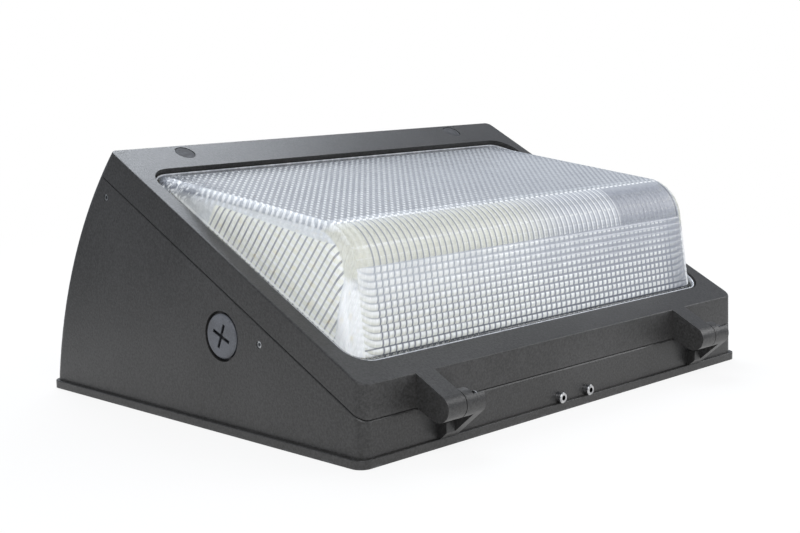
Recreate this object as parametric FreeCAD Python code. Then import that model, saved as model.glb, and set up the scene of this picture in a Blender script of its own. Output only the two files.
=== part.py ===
import FreeCAD, Part
import math
import os
from FreeCAD import Vector as V

# Outdoor wall pack light, lying on its back as in the photograph.
# Origin: centre of the wall face.  +X along the width, +Y towards the curved
# back, -Y towards the hinges, +Z out of the wall.  Millimetres.

# ---------------------------------------------------------------- driving sizes
flange_width = 368.0        # wall flange, along X
flange_depth = 295.3        # wall flange, along Y
flange_thick = 5.1
flange_corner = 7.0
side_overhang = 2.7         # flange beyond the body, each side
front_overhang = 1.8        # flange beyond the front wall
back_overhang = 0.65        # flange beyond the curved back
side_draft = 0.92           # degrees
front_draft = 0.8           # degrees
body_corner = 6.4           # upright front corners of body and door
back_corner = 4.9           # upright corners at the curved back
body_wall = 3.0
back_plate = 3.2            # floor of the housing against the wall
back_radius = 282.4         # curved back, seen from the side

door_slope = 27.27          # degrees, top face of the door
door_front_height = 44.97   # front top edge of the door above the wall
back_lean = 69.91886        # door's back edge ahead of the curved back's foot
door_plate = 4.0            # thickness of the door's top plate
door_wall = 3.2
door_edge = 1.0             # rounding of the top plate's outer edge
seam_slope = 26.95          # degrees, joint between door and housing
seam_front_height = 24.9
seam_gap = 0.8
seam_bevel = 0.5            # bevel along the housing's rim

rim_width = 5.8             # width of both rims that meet at the seam
rim_depth = 4.0
groove_edge = 1.9           # gasket groove, in from the outer face
groove_width = 2.4
groove_depth = 1.6
seat_gap = 0.05             # left between pieces that only rest on each other

frame_side = 12.3           # door beside its window, from the body's foot
opening_front = 16.4        # front edge of the window, along the slope
frame_back = 25.9           # door behind its window
opening_corner = 16.0

lens_side_gap = 4.1         # refractor from the window's sides
lens_front_gap = 4.7        # from its front edge
lens_back_gap = 2.0         # and from its back edge
lens_top = 55.8             # height of the un-rounded nose above the door
lens_top_along = 63.3       # place of the un-rounded nose, along the slope
lens_nose = 28.0            # radius of the nose
lens_edge = 10.0            # rounding of the refractor's outer edges
lens_wall = 4.0
lens_draft = 1.5            # degrees, side faces
lens_rim = 4.0              # thickness of the refractor's flat rim
lens_rim_side_lap = 4.0     # that rim under the door, beside the window
lens_rim_front_lap = 4.4
lens_rim_back_lap = 6.8
lens_rim_corner = 18.0
lens_seal = 1.5             # flat seal between door plate and refractor rim
seal_margin = 0.6           # seal's edge inside the refractor rim's edge
seal_lens_gap = 0.6         # seal from the refractor, front and back
seal_side_gap = 1.5         # and at the sides
seal_corner = 12.0

clip_places = (-85.0, 0.0, 85.0)
clip_width = 10.0
clip_thick = 1.2
clip_reach = 5.5            # clip over the refractor's rim
clip_boss = 2.9             # radius
clip_screw = 1.5            # M3 screw, radius
clip_screw_length = 5.0     # in the door
clip_head = 2.7             # radius
clip_head_height = 2.0
clip_edge_gap = 0.5         # clip boss from the refractor's rim

hinge_from_side = (42.0, 74.0)      # left face of each hinge arm, from the body's foot
arm_width = 14.7
hinge_gap = 0.6             # between arm and lug
lug_width = 15.6
knuckle = 8.0               # radius of arm end and lug
hinge_reach = 15.5          # hinge axis in front of the front wall's foot
pin_radius = 3.0
pin_fit = 0.05              # running fit of the arm on its pin
pin_seat = 0.02             # pin in its lug
pin_blind = 11.0            # pin inside the arm
pin_tail = 0.8              # pin past the lug
web_width = 6.8             # web under the lug
foot_front = 6.2            # foot block in front of the front wall
foot_top = 15.0
foot_left_in = 1.6          # foot block starts right of the lug's left face
cradle_start = 6.8          # full round part of the lug
cradle_height = 2.4         # lug's open part ends this far above the axis
ring_radius = 4.9           # spring ring on the hinge pin
ring_thick = 0.8
ring_inset = 2.2            # ring from the lug's right face

screw_from_side = 54.6      # captive door screws, from the body's foot
screw_from_back = 9.1       # and from the door's back edge
screw_radius = 2.5
screw_hole = 2.9            # through the door
screw_boss_hole = 3.5       # in the housing
screw_tip = 30.0            # below the door's top face
screw_head = 6.6
screw_head_height = 3.0
screw_pocket = 0.25         # pocket around the head
screw_cap = 1.2
screw_cap_stem = 2.4
screw_socket = 1.5          # depth of the socket in the head
screw_cap_recess = 0.2
screw_travel = 9.0
screw_floor = 3.6           # door material under the head
screw_boss = 8.4
screw_ring = 4.6
screw_ring_thick = 1.0
screw_ring_gap = 0.3        # left between ring and boss at full travel
screw_post = 6.5            # housing boss under each captive screw
screw_post_length = 20.0

tray_drop = 1.2             # tray's face below the seam
tray_thick = 1.5
tray_air = 10.8             # tray from the body's foot, each side
tray_front = 8.5            # along the seam
tray_past_door = 5.4        # tray's back edge past the door's, each along its slope
tray_flange_ahead = 60.0    # flanges reach this far past the front side screws
tray_flange = 12.0          # height of the tray's side flanges
tray_screw_drop = 9.7       # side screws below the seam
tray_screw_front = 87.9     # side screws along the seam
tray_screw_from_back = 4.4
tray_screw_radius = 2.2
tray_screw_inset = 0.6      # screw face inside the housing's side
tray_screw_past = 1.6       # screw past the tray's flange
tray_boss = 5.0

board_width = 142.0
board_length = 176.0
board_thick = 1.6
board_middle = 76.0         # centre of each board from the middle
board_ahead = 12.0          # boards' middle ahead of the tray's
chip_size = 3.0
chip_height = 0.7
chip_columns = 8
chip_rows = 9
chip_pitch_x = 16.0
chip_pitch_u = 18.0
board_screw_radius = 1.5
board_screw_head = 2.8
board_screw_height = 1.8
board_screw_inset = 5.0

driver_width = 168.0
driver_depth = 62.0
driver_height = 36.0
driver_y = 66.0
driver_post = 6.0           # height of the posts under the driver
driver_post_radius = 6.0
driver_ear = 20.0           # screw ears past the driver's body
driver_ear_thick = 2.5
driver_cap = 6.0            # end caps
driver_screw_radius = 2.0
driver_screw_head = 3.8
driver_screw_height = 2.4

bracket_width = 58.0        # terminal bracket behind the front wall
bracket_height = 17.0
bracket_depth = 34.0
bracket_thick = 1.6
bracket_x = -1.3
front_screw_x = (-14.9, 12.3)
front_screw_z = 8.6
front_screw_radius = 2.0    # M4
front_screw_head = 3.3
front_screw_head_height = 4.0
front_screw_socket = 1.6
front_screw_past = 0.8      # screw past its nut
front_nut = 4.04            # radius to the corners
front_nut_height = 3.2
block_setback = 8.0         # terminal block behind the bracket's upright
block_width = 46.0
block_depth = 20.0
block_height = 15.0
block_poles = 3
block_row = 5.0             # screws from the block's front and back faces
block_well = 3.0            # depth of the screw wells
block_screw = 2.6
block_screw_height = 1.5
block_shank = 1.5
block_shank_length = 3.0
block_wire_hole = 2.4
block_wire_depth = 6.0
block_wire_height = 5.0

plug_y = -29.5
plug_z = 56.6
plug_head = 13.2
plug_proud = 0.3
plug_recess = 14.9
plug_recess_depth = 3.0
plug_thread = 10.5          # half-inch conduit thread, radius
plug_thread_gap = 0.1
plug_length = 5.0           # thread below the seal
plug_slot_width = 2.2
plug_slot_length = 15.4
plug_slot_depth = 1.6
plug_slot_turn = 22.0       # degrees
plug_boss = 16.5
plug_boss_length = 8.4
plug_seal = 12.6
plug_seal_thick = 0.8
plug_bevel = 0.8

mount_x = 127.0             # wall fixing holes, from the middle
mount_y = 101.6
mount_hole = 3.5
mount_pad = 9.0
mount_pad_height = 4.0
box_hole = 2.75             # junction box fixing holes
box_x = 44.45
entry_hole = 11.1           # cable entry in the middle
grommet_lip = 14.0
grommet_lip_thick = 2.0
grommet_bore = 6.0
grommet_gap = 0.1
grommet_back = 0.3          # grommet's neck ends short of the wall

earth_x = -60.0
earth_y = -60.0
earth_post = 5.0
earth_post_height = 6.0
earth_screw_radius = 2.0
earth_head = 4.2
earth_head_height = 2.8
earth_lug = 4.4             # ring terminal under the screw
earth_lug_thick = 0.8
earth_barrel = 2.1
earth_barrel_length = 7.0
earth_lead = 1.4            # radius

tray_hole_x = 0.0           # where the board lead passes the tray
tray_hole = 6.0
tray_grommet_lip = 8.2
tray_grommet_lip_thick = 1.2
lead_radius = 2.0           # sheathed leads
lead_gap = 0.1
lead_bend = 0.45            # share of a run that each bend takes
supply_start = 29.0         # straight run out of the terminal block
supply_turns = ((66.0, -48.0, 0.0), (108.0, -8.0, 3.0))     # z above the block's wire
supply_rise = (120.0, 34.0, -7.0)                           # z above the driver's lead
driver_lead_run = 30.0      # supply lead's straight run into the driver
board_lead_run = 29.0       # board lead's straight run out of the driver
board_lead_up = (0.0, -2.0, 43.0)       # its turns, from the end of that run
board_lead_over = (46.0, -4.0, 61.0)
board_lead_under = 34.0     # straight run up to the boards
earth_lead_run = 25.0
earth_lead_turn = -86.0     # y where the earth lead turns to the block
lead_socket = 3.0           # lead inside the driver's end cap
post_clearance = 1.5        # tray notch round each captive screw's post
link_width = 40.0           # edge connector that feeds the boards
link_length = 22.0
link_height = 5.0
link_roof = 1.5
span = 600.0                # size of the cutting blocks


# ---------------------------------------------------------------- geometry
def tan(angle):
    return math.tan(math.radians(angle))


def cos(angle):
    return math.cos(math.radians(angle))


def sin(angle):
    return math.sin(math.radians(angle))


def front_at(z):
    """y of the front wall's outer face at height z."""
    return -flange_depth / 2 + front_overhang + z * tan(front_draft)


def side_at(z):
    """Half width of the body at height z."""
    return flange_width / 2 - side_overhang - z * tan(side_draft)


door_origin = V(0, front_at(door_front_height), door_front_height)
seam_origin = V(0, front_at(seam_front_height), seam_front_height)
back_foot = V(0, flange_depth / 2 - back_overhang, 0)
door_length = (back_foot.y - back_lean - door_origin.y) / cos(door_slope)
door_end = door_origin + V(0, door_length * cos(door_slope), door_length * sin(door_slope))
opening_side = side_at(0) - frame_side          # half width of the window
opening_back = door_length - frame_back
lens_side = opening_side - lens_side_gap        # half width of the refractor at the door
lens_front = opening_front + lens_front_gap
lens_back = opening_back - lens_back_gap
lens_rim_side = opening_side + lens_rim_side_lap
lens_rim_front = opening_front - lens_rim_front_lap
lens_rim_back = opening_back + lens_rim_back_lap
screw_side = side_at(0) - screw_from_side
screw_along = door_length - screw_from_back
tray_side = side_at(0) - tray_air
tray_back = door_length + tray_past_door
tray_screw_along = (tray_screw_front, tray_back - tray_screw_from_back)
hinge_left = (hinge_from_side[0] - side_at(0), side_at(0) - hinge_from_side[1])
board_along = (tray_front + tray_back) / 2 - board_ahead
lens_level = door_plate + lens_seal             # refractor rim's upper face, below the door's
lens_bottom = lens_level + lens_rim
screw_head_level = screw_cap_recess + screw_cap + screw_head_height
axis_y = -flange_depth / 2 + front_overhang - hinge_reach
axis_z = (door_front_height + (axis_y - door_origin.y) * tan(door_slope)
          - knuckle / cos(door_slope))
link_front = board_along + board_length / 2 + seat_gap
tray_hole_along = link_front + link_length / 2
link_ceiling = -tray_drop + link_height - link_roof


def arc_centre():
    """Centre of the curved back's arc, in front of and below it."""
    chord = door_end - back_foot
    half = chord.Length / 2
    inward = V(0, -chord.z, chord.y).normalize()
    return (back_foot + door_end) * 0.5 + inward * math.sqrt(back_radius ** 2 - half ** 2)


def box(x0, x1, y0, y1, z0, z1):
    return Part.makeBox(x1 - x0, y1 - y0, z1 - z0, V(x0, y0, z0))


def rod_x(x0, x1, y, z, radius):
    return Part.makeCylinder(radius, x1 - x0, V(x0, y, z), V(1, 0, 0))


def rod_z(x, y, z0, z1, radius):
    return Part.makeCylinder(radius, z1 - z0, V(x, y, z0))


def tilted(shape, origin, slope):
    """A shape drawn with x across, y up the slope and z out of it, put in place."""
    place = FreeCAD.Placement(origin, FreeCAD.Rotation(V(1, 0, 0), slope))
    moved = shape.copy()
    moved.Placement = place.multiply(moved.Placement)
    return moved


def on_door(shape):
    return tilted(shape, door_origin, door_slope)


def on_seam(shape):
    return tilted(shape, seam_origin, seam_slope)


def slab(low, high):
    """Everything between two planes parallel to the seam."""
    return on_seam(box(-span, span, -span, span, low, high))


def prism_x(points, x0, x1):
    """Extrude a closed outline of (y, z) points along X."""
    wire = Part.makePolygon([V(x0, y, z) for y, z in points + points[:1]])
    return Part.Face(wire).extrude(V(x1 - x0, 0, 0))


def plate(x, y0, y1, z0, z1, corner):
    """Rounded rectangle of half width x, upright."""
    body = box(-x, x, y0, y1, z0, z1)
    uprights = [e for e in body.Edges if e.BoundBox.ZLength > (z1 - z0) / 2]
    return body.makeFillet(corner, uprights)


def mirrored(shape):
    return shape.mirror(V(0, 0, 0), V(1, 0, 0))


def hexagon(radius, z0, z1):
    """Six-sided prism, radius to its corners."""
    points = [V(radius * cos(60 * i), radius * sin(60 * i), z0) for i in range(7)]
    return Part.Face(Part.makePolygon(points)).extrude(V(0, 0, z1 - z0))


def block(side, front, back, top, floor):
    """The body's outer form, drawn in by the given amounts, with rounded corners."""
    centre = arc_centre()
    radius = back_radius - back
    start = door_origin + V(0, top * sin(door_slope), -top * cos(door_slope))
    along = V(0, cos(door_slope), sin(door_slope))
    offset = start - centre
    reach = offset.dot(along)
    far = -reach + math.sqrt(reach ** 2 - offset.dot(offset) + radius ** 2)
    top_back = start + along * far
    foot = front_at(0) + front
    near = (foot + tan(front_draft) * start.z - start.y) / (along.y - tan(front_draft) * along.z)
    top_front = start + along * near
    low_front = V(0, foot + tan(front_draft) * floor, floor)
    low_back = V(0, centre.y + math.sqrt(radius ** 2 - (floor - centre.z) ** 2), floor)
    middle = (low_back + top_back) * 0.5 - centre
    crown = centre + middle.normalize() * radius
    edges = [Part.LineSegment(top_back, top_front).toShape(),
             Part.LineSegment(top_front, low_front).toShape(),
             Part.LineSegment(low_front, low_back).toShape(),
             Part.Arc(low_back, crown, top_back).toShape()]
    outline = Part.Face(Part.Wire(edges))
    outline.translate(V(-span, 0, 0))
    long = outline.extrude(V(2 * span, 0, 0))
    high = door_end.z + 20
    corners = [(-side_at(floor) + side, floor), (side_at(floor) - side, floor),
               (side_at(high) - side, high), (-side_at(high) + side, high)]
    wire = Part.makePolygon([V(x, -span, z) for x, z in corners + corners[:1]])
    body = long.common(Part.Face(wire).extrude(V(0, 2 * span, 0)))
    for corner, end in ((body_corner, -1), (back_corner, 1)):
        uprights = [e for e in body.Edges if e.BoundBox.ZLength > 15
                    and e.BoundBox.YLength < e.BoundBox.ZLength and e.BoundBox.Center.y * end > 0]
        body = body.makeFillet(max(corner - side, 0.6), uprights)
    return body


def even_block(inset, floor=0.0, top=0.0):
    return block(inset, inset, inset, top, floor)


def rim_band(low, high):
    """The thickened rim beside the seam."""
    ring = even_block(body_wall / 2).cut(even_block(rim_width, floor=-5.0, top=-30.0))
    return ring.common(slab(low, high))


def both_sides(shape):
    return [shape, mirrored(shape)]


def tangent_point(y, z, sign):
    """Where a line from (y, z) touches the hinge knuckle, on the side given by sign."""
    away_y, away_z = y - axis_y, z - axis_z
    distance = math.hypot(away_y, away_z)
    turn = sign * math.acos(knuckle / distance)
    heading = math.atan2(away_z, away_y) + turn
    return axis_y + knuckle * math.cos(heading), axis_z + knuckle * math.sin(heading)


# ---------------------------------------------------------------- housing
def flange():
    body = plate(flange_width / 2, -flange_depth / 2, flange_depth / 2, 0, flange_thick,
                 flange_corner)
    rim = [e for e in body.Edges if e.BoundBox.ZMin > flange_thick - 0.01]
    return body.makeFillet(0.6, rim)


def lug(left):
    """Hinge lug on the housing, right of the arm whose left face is given."""
    x0 = left + arm_width + hinge_gap
    x1 = x0 + lug_width
    root = front_at(flange_thick) + 1.0
    shelf = seam_front_height - 1.0
    edge_y, edge_z = -flange_depth / 2, flange_thick
    touch = tangent_point(edge_y, edge_z, -1)
    fall = (touch[1] - edge_z) / (edge_y - touch[0])
    foot_y = front_at(0) - foot_front
    foot_z = edge_z + (edge_y - foot_y) * fall
    web = prism_x([(root, edge_z), (edge_y, edge_z), touch, (axis_y, axis_z),
                   (axis_y + knuckle, shelf + 1.0), (root, shelf)], x1 - web_width, x1)
    foot = prism_x([(root, edge_z), (edge_y, edge_z), (foot_y, foot_z), (foot_y, foot_top),
                    (root, foot_top)], x0 + foot_left_in, x1)
    body = rod_x(x0, x1, axis_y, axis_z, knuckle).fuse([web, foot])
    lip = axis_y - knuckle + 3.2
    body = body.cut(box(x0 + cradle_start, x1 + 1, lip, axis_y + 2 * knuckle,
                        axis_z + cradle_height, axis_z + 2 * knuckle))
    body = body.cut(box(x0 + cradle_start, x1 + 1, axis_y - 2 * knuckle, lip + 0.01,
                        axis_z + knuckle * 0.62, axis_z + 2 * knuckle))
    ring_x = x1 - ring_inset
    body = body.cut(rod_x(ring_x - 0.3, ring_x + ring_thick + 0.3, axis_y, axis_z,
                          ring_radius + 0.4))
    return body.cut(rod_x(x0 - 1, x1 + 1, axis_y, axis_z, pin_radius + pin_seat))


def captive_post(x):
    """Post in the housing that takes a captive door screw, tied to the back wall."""
    low = -(screw_tip + screw_post_length * 0.6)
    post = Part.makeCylinder(screw_post, screw_post_length * 1.6,
                             V(x, screw_along, low), V(0, 0, 1))
    web = box(x - 3, x + 3, screw_along, screw_along + 24, low, low + screw_post_length * 1.6)
    return on_door(post.fuse(web)).common(even_block(1.0, top=1.0)).common(slab(-span, 0))


def tray_screw_point(along):
    return seam_origin + V(0, along * cos(seam_slope) + tray_screw_drop * sin(seam_slope),
                           along * sin(seam_slope) - tray_screw_drop * cos(seam_slope))


def driver_post_places():
    x = driver_width / 2 + (driver_cap + driver_ear) / 2
    return [(sx * x, driver_y + sy * driver_depth / 3) for sx in (-1, 1) for sy in (-1, 1)]


def wall_screw_places():
    return [(sx * mount_x, sy * mount_y) for sx in (-1, 1) for sy in (-1, 1)]


def housing():
    lower = even_block(0.0).common(slab(-span, 0))
    rim = [e for e in lower.Edges
           if all(abs(on_seam_height(v.Point)) < 0.01 for v in e.Vertexes)]
    lower = lower.makeChamfer(seam_bevel, rim)
    inner = even_block(body_wall, floor=back_plate, top=-30.0)
    posts = [rod_z(x, y, back_plate - 1, back_plate + mount_pad_height, mount_pad)
             for x, y in wall_screw_places()]
    posts += [rod_z(x, y, back_plate - 1, back_plate + driver_post, driver_post_radius)
              for x, y in driver_post_places()]
    posts.append(rod_z(earth_x, earth_y, back_plate - 1, back_plate + earth_post_height, earth_post))
    posts += [captive_post(-screw_side), captive_post(screw_side)]
    outer_x = side_at(plug_z)
    posts += both_sides(rod_x(outer_x - plug_boss_length, outer_x - 1, plug_y, plug_z, plug_boss))
    for along in tray_screw_along:
        p = tray_screw_point(along)
        posts += both_sides(rod_x(tray_side + seat_gap, side_at(p.z) - 1, p.y, p.z, tray_boss))
    posts += [lug(left) for left in hinge_left]
    body = lower.fuse(flange()).cut(inner).fuse(rim_band(-rim_depth, 0)).fuse(posts)
    return body.cut(housing_holes()).removeSplitter()


def on_seam_height(point):
    """Height of a point above the seam plane."""
    away = point - seam_origin
    return away.z * cos(seam_slope) - away.y * sin(seam_slope)


def gasket_groove(low, high, gap):
    ring = even_block(groove_edge + gap).cut(
        even_block(groove_edge + groove_width - gap, floor=-5.0, top=-30.0))
    return ring.common(slab(low, high))


def housing_holes():
    cuts = [gasket_groove(-groove_depth, 2.0, 0.0)]
    cuts += [rod_z(x, y, -1, back_plate + mount_pad_height + 1, mount_hole)
             for x, y in wall_screw_places()]
    cuts += [rod_z(x, 0, -1, back_plate + 1, box_hole) for x in (-box_x, box_x)]
    cuts.append(rod_z(0, 0, -1, back_plate + 1, entry_hole))
    cuts += [rod_z(x, y, back_plate, back_plate + driver_post + 1, driver_screw_radius + pin_seat)
             for x, y in driver_post_places()]
    cuts.append(rod_z(earth_x, earth_y, back_plate - 1.5, back_plate + earth_post_height + 1,
                      earth_screw_radius + pin_seat))
    outer_x = side_at(plug_z)
    bore = rod_x(outer_x - 2 * plug_length, outer_x + 1, plug_y, plug_z,
                 plug_thread + plug_thread_gap)
    recess = rod_x(outer_x - plug_recess_depth, outer_x + 5, plug_y, plug_z, plug_recess)
    cuts += both_sides(bore) + both_sides(recess)
    for along in tray_screw_along:
        p = tray_screw_point(along)
        cuts += both_sides(rod_x(tray_side - 1, side_at(p.z) + 1, p.y, p.z,
                                 tray_screw_radius + pin_seat))
    for x in (-screw_side, screw_side):
        cuts.append(on_door(Part.makeCylinder(screw_boss_hole, screw_tip,
                                              V(x, screw_along, -screw_tip - 2), V(0, 0, 1))))
    for x in front_screw_x:
        cuts.append(Part.makeCylinder(front_screw_radius + pin_seat, body_wall + 4,
                                      V(x, front_at(0) - 2, front_screw_z), V(0, 1, 0)))
    return cuts


# ---------------------------------------------------------------- door
def arm(left):
    """Hinge arm that carries the door's top face on to the knuckle."""
    right = left + arm_width
    inside = door_wall - 0.2
    touch_y = axis_y - knuckle * sin(door_slope)
    touch_z = axis_z + knuckle * cos(door_slope)
    top_y = door_origin.y + inside
    top_z = door_front_height + inside * tan(door_slope)
    low_y = front_at(seam_front_height)
    low_z = seam_front_height + seam_gap / cos(seam_slope)
    under = tangent_point(low_y, low_z, -1)
    in_z = low_z + inside * tan(seam_slope)
    body = prism_x([(top_y, top_z), (touch_y, touch_z), (axis_y, axis_z), under,
                    (low_y, low_z), (low_y + inside, in_z)], left, right)
    body = body.fuse(rod_x(left, right, axis_y, axis_z, knuckle)).removeSplitter()
    return body.cut(rod_x(right - pin_blind, right + 1, axis_y, axis_z, pin_radius + pin_fit))


def clip_boss_places():
    front = lens_rim_front - clip_edge_gap - clip_boss
    back = lens_rim_back + clip_edge_gap + clip_boss
    return [(x, along) for x in clip_places for along in (front, back)]


def window():
    """Cut for the window in the door's top plate."""
    return on_door(plate(opening_side, opening_front, opening_back, -3 * door_plate, 5,
                         opening_corner))


def door_frame():
    outer = even_block(0.0).common(slab(seam_gap, span))
    top_edges = [e for e in outer.Edges
                 if all(abs(on_door_height(v.Point)) < 0.01 for v in e.Vertexes)]
    outer = outer.makeFillet(door_edge, top_edges)
    inner = block(door_wall, door_wall, door_wall, door_plate, 0.0)
    body = outer.cut(inner).fuse(rim_band(seam_gap, seam_gap + rim_depth))
    bosses = []
    for x in (-screw_side, screw_side):
        depth = screw_head_level + screw_floor
        boss = on_door(Part.makeCylinder(screw_boss, depth - 1, V(x, screw_along, -depth)))
        bosses.append(boss.common(even_block(1.0, top=1.0)))
    for x, along in clip_boss_places():
        bosses.append(on_door(Part.makeCylinder(clip_boss, lens_bottom - 1,
                                                V(x, along, -lens_bottom))))
    body = body.cut(window()).fuse(bosses + [arm(left) for left in hinge_left])
    cuts = []
    for x in (-screw_side, screw_side):
        cuts.append(on_door(Part.makeCylinder(screw_head + screw_pocket, screw_head_level + 5,
                                              V(x, screw_along, -screw_head_level))))
        cuts.append(on_door(Part.makeCylinder(screw_hole, 30, V(x, screw_along, -20))))
    for x, along in clip_boss_places():
        cuts.append(on_door(Part.makeCylinder(clip_screw + pin_seat, clip_screw_length + 1.3,
                                              V(x, along, -lens_bottom - 1))))
    return body.cut(cuts).removeSplitter()


def on_door_height(point):
    """Height of a point above the door's top face."""
    away = point - door_origin
    return away.z * cos(door_slope) - away.y * sin(door_slope)


def door_gasket():
    """Seal that sits in the housing's groove and meets the door's rim."""
    return gasket_groove(seat_gap - groove_depth, seam_gap - seat_gap, 0.1)


# ---------------------------------------------------------------- refractor
def lens_form(inset, low):
    """The refractor's wedge form drawn in by an amount, down to a level below the door."""
    top = V(0, lens_top_along, lens_top)
    down_front = (V(0, lens_front, -door_plate) - top).normalize()
    down_back = (V(0, lens_back, -door_plate) - top).normalize()
    half_angle = math.acos(down_front.dot(down_back)) / 2
    inward = (down_front + down_back).normalize()
    corner = top + inward * (inset / math.sin(half_angle))
    radius = lens_nose - inset
    reach = radius / math.tan(half_angle)
    start = corner + down_front * reach
    end = corner + down_back * reach
    crown = corner + inward * (radius / math.sin(half_angle) - radius)
    foot_front = corner + down_front * ((low + corner.z) / -down_front.z)
    foot_back = corner + down_back * ((low + corner.z) / -down_back.z)
    edges = [Part.LineSegment(foot_front, start).toShape(), Part.Arc(start, crown, end).toShape(),
             Part.LineSegment(end, foot_back).toShape(),
             Part.LineSegment(foot_back, foot_front).toShape()]
    outline = Part.Face(Part.Wire(edges))
    outline.translate(V(-span, 0, 0))
    long = outline.extrude(V(2 * span, 0, 0))
    high = lens_top + 10
    wide = lens_side - inset + (low - door_plate) * tan(lens_draft)
    narrow = lens_side - inset - (high + door_plate) * tan(lens_draft)
    corners = [(-wide, -low), (wide, -low), (narrow, high), (-narrow, high)]
    wire = Part.makePolygon([V(x, -span, z) for x, z in corners + corners[:1]])
    body = long.common(Part.Face(wire).extrude(V(0, 2 * span, 0)))
    edges = [e for e in body.Edges if e.BoundBox.ZLength > 3 and e.BoundBox.XLength < 20]
    return body.makeFillet(lens_edge - inset, edges)


def refractor():
    deep = 8 * door_plate
    dome = lens_form(0.0, deep).common(box(-span, span, -span, span, -lens_level, span))
    rim = plate(lens_rim_side, lens_rim_front, lens_rim_back, -lens_bottom, -lens_level,
                lens_rim_corner)
    body = dome.fuse(rim).cut(lens_form(lens_wall, deep))
    return on_door(body.removeSplitter())


def lens_foot(level, sign):
    """Where the refractor's front (sign -1) or back (+1) face is, that far below the door."""
    foot = lens_front if sign < 0 else lens_back
    run = (foot - lens_top_along) / (lens_top + door_plate)
    return foot + (level - door_plate) * run


def refractor_gasket():
    outer = plate(lens_rim_side - seal_margin, lens_rim_front + seal_margin,
                  lens_rim_back - seal_margin, -lens_level, -door_plate,
                  lens_rim_corner - seal_margin)
    side = lens_side + seal_side_gap
    front = lens_foot(lens_level, -1) - seal_lens_gap
    back = lens_foot(lens_level, 1) + seal_lens_gap
    return on_door(outer.cut(plate(side, front, back, -2 * lens_level, 1, seal_corner)))


def glass_clips():
    clips = []
    for x, along in clip_boss_places():
        if along < opening_front:
            ends = (along - clip_boss, lens_rim_front + clip_reach)
        else:
            ends = (lens_rim_back - clip_reach, along + clip_boss)
        clip = box(x - clip_width / 2, x + clip_width / 2, ends[0], ends[1],
                   -lens_bottom - clip_thick, -lens_bottom)
        hole = Part.makeCylinder(clip_screw + seat_gap, 10, V(x, along, -lens_bottom - 5))
        clips.append(on_door(clip.cut(hole)))
    return Part.makeCompound(clips)


def clip_screws():
    screws = []
    for x, along in clip_boss_places():
        shank = Part.makeCylinder(clip_screw, clip_screw_length + clip_thick,
                                  V(x, along, -lens_bottom - clip_thick))
        head = Part.makeCylinder(clip_head, clip_head_height,
                                 V(x, along, -lens_bottom - clip_thick - clip_head_height))
        low = head.BoundBox.ZMin
        head = head.makeFillet(0.7, [e for e in head.Edges
                                     if abs(e.BoundBox.ZMax - low) < 0.01])
        socket = hexagon(1.0, low - 1, low + 1.0)
        socket.translate(V(x, along, 0))
        screws.append(on_door(shank.fuse(head).removeSplitter().cut(socket)))
    return Part.makeCompound(screws)


# ---------------------------------------------------------------- hinges and door screws
def hinge_pin(left):
    start = left + arm_width - pin_blind + 0.3
    end = left + arm_width + hinge_gap + lug_width + pin_tail
    pin = rod_x(start, end, axis_y, axis_z, pin_radius)
    ends = [e for e in pin.Edges if e.BoundBox.XLength < 0.01]
    return pin.makeChamfer(0.4, ends)


def hinge_rings():
    rings = []
    for left in hinge_left:
        x = left + arm_width + hinge_gap + lug_width - ring_inset
        ring = rod_x(x, x + ring_thick, axis_y, axis_z, ring_radius)
        ring = ring.cut(rod_x(x - 1, x + 3, axis_y, axis_z, pin_radius + pin_seat))
        rings.append(ring.cut(box(x - 1, x + 3, axis_y - 1.4, axis_y + 1.4,
                                  axis_z - 2 * ring_radius, axis_z)))
    return Part.makeCompound(rings)


def door_screw(x):
    """Captive screw: socketed flat head, shank and a pointed tip."""
    head = Part.makeCylinder(screw_head, screw_head_height, V(0, 0, -screw_head_level))
    point = Part.makeCone(screw_radius - 1.0, screw_radius, 2.0, V(0, 0, -screw_tip))
    shank = Part.makeCylinder(screw_radius, screw_tip - screw_head_level - 2.0,
                              V(0, 0, -screw_tip + 2.0))
    top = -screw_head_level + screw_head_height
    socket = hexagon(screw_cap_stem + 0.2, top - screw_socket, top + 1)
    body = head.fuse([shank, point]).removeSplitter().cut(socket)
    body.translate(V(x, screw_along, 0))
    return on_door(body)


def screw_cover(x):
    """Rubber cap pressed into the screw's socket, almost flush with the door."""
    low = -screw_head_level + screw_head_height
    disc = Part.makeCylinder(screw_head, screw_cap, V(0, 0, low))
    disc = disc.makeFillet(0.35, [e for e in disc.Edges if e.BoundBox.ZMin > low + 0.5])
    stem = Part.makeCylinder(screw_cap_stem * cos(30) - seat_gap, screw_socket - 0.2,
                             V(0, 0, low - screw_socket + 0.2))
    body = disc.fuse(stem)
    body.translate(V(x, screw_along, 0))
    return on_door(body)


def screw_ring_at(x):
    """Ring that keeps the screw in the door; it meets the boss when the screw is out."""
    top = -(screw_head_level + screw_floor + screw_travel + screw_ring_gap)
    ring = Part.makeCylinder(screw_ring, screw_ring_thick, V(0, 0, top - screw_ring_thick))
    ring = ring.cut(Part.makeCylinder(screw_radius + pin_seat, 10, V(0, 0, top - 5)))
    ring.translate(V(x, screw_along, 0))
    return on_door(ring)


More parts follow.
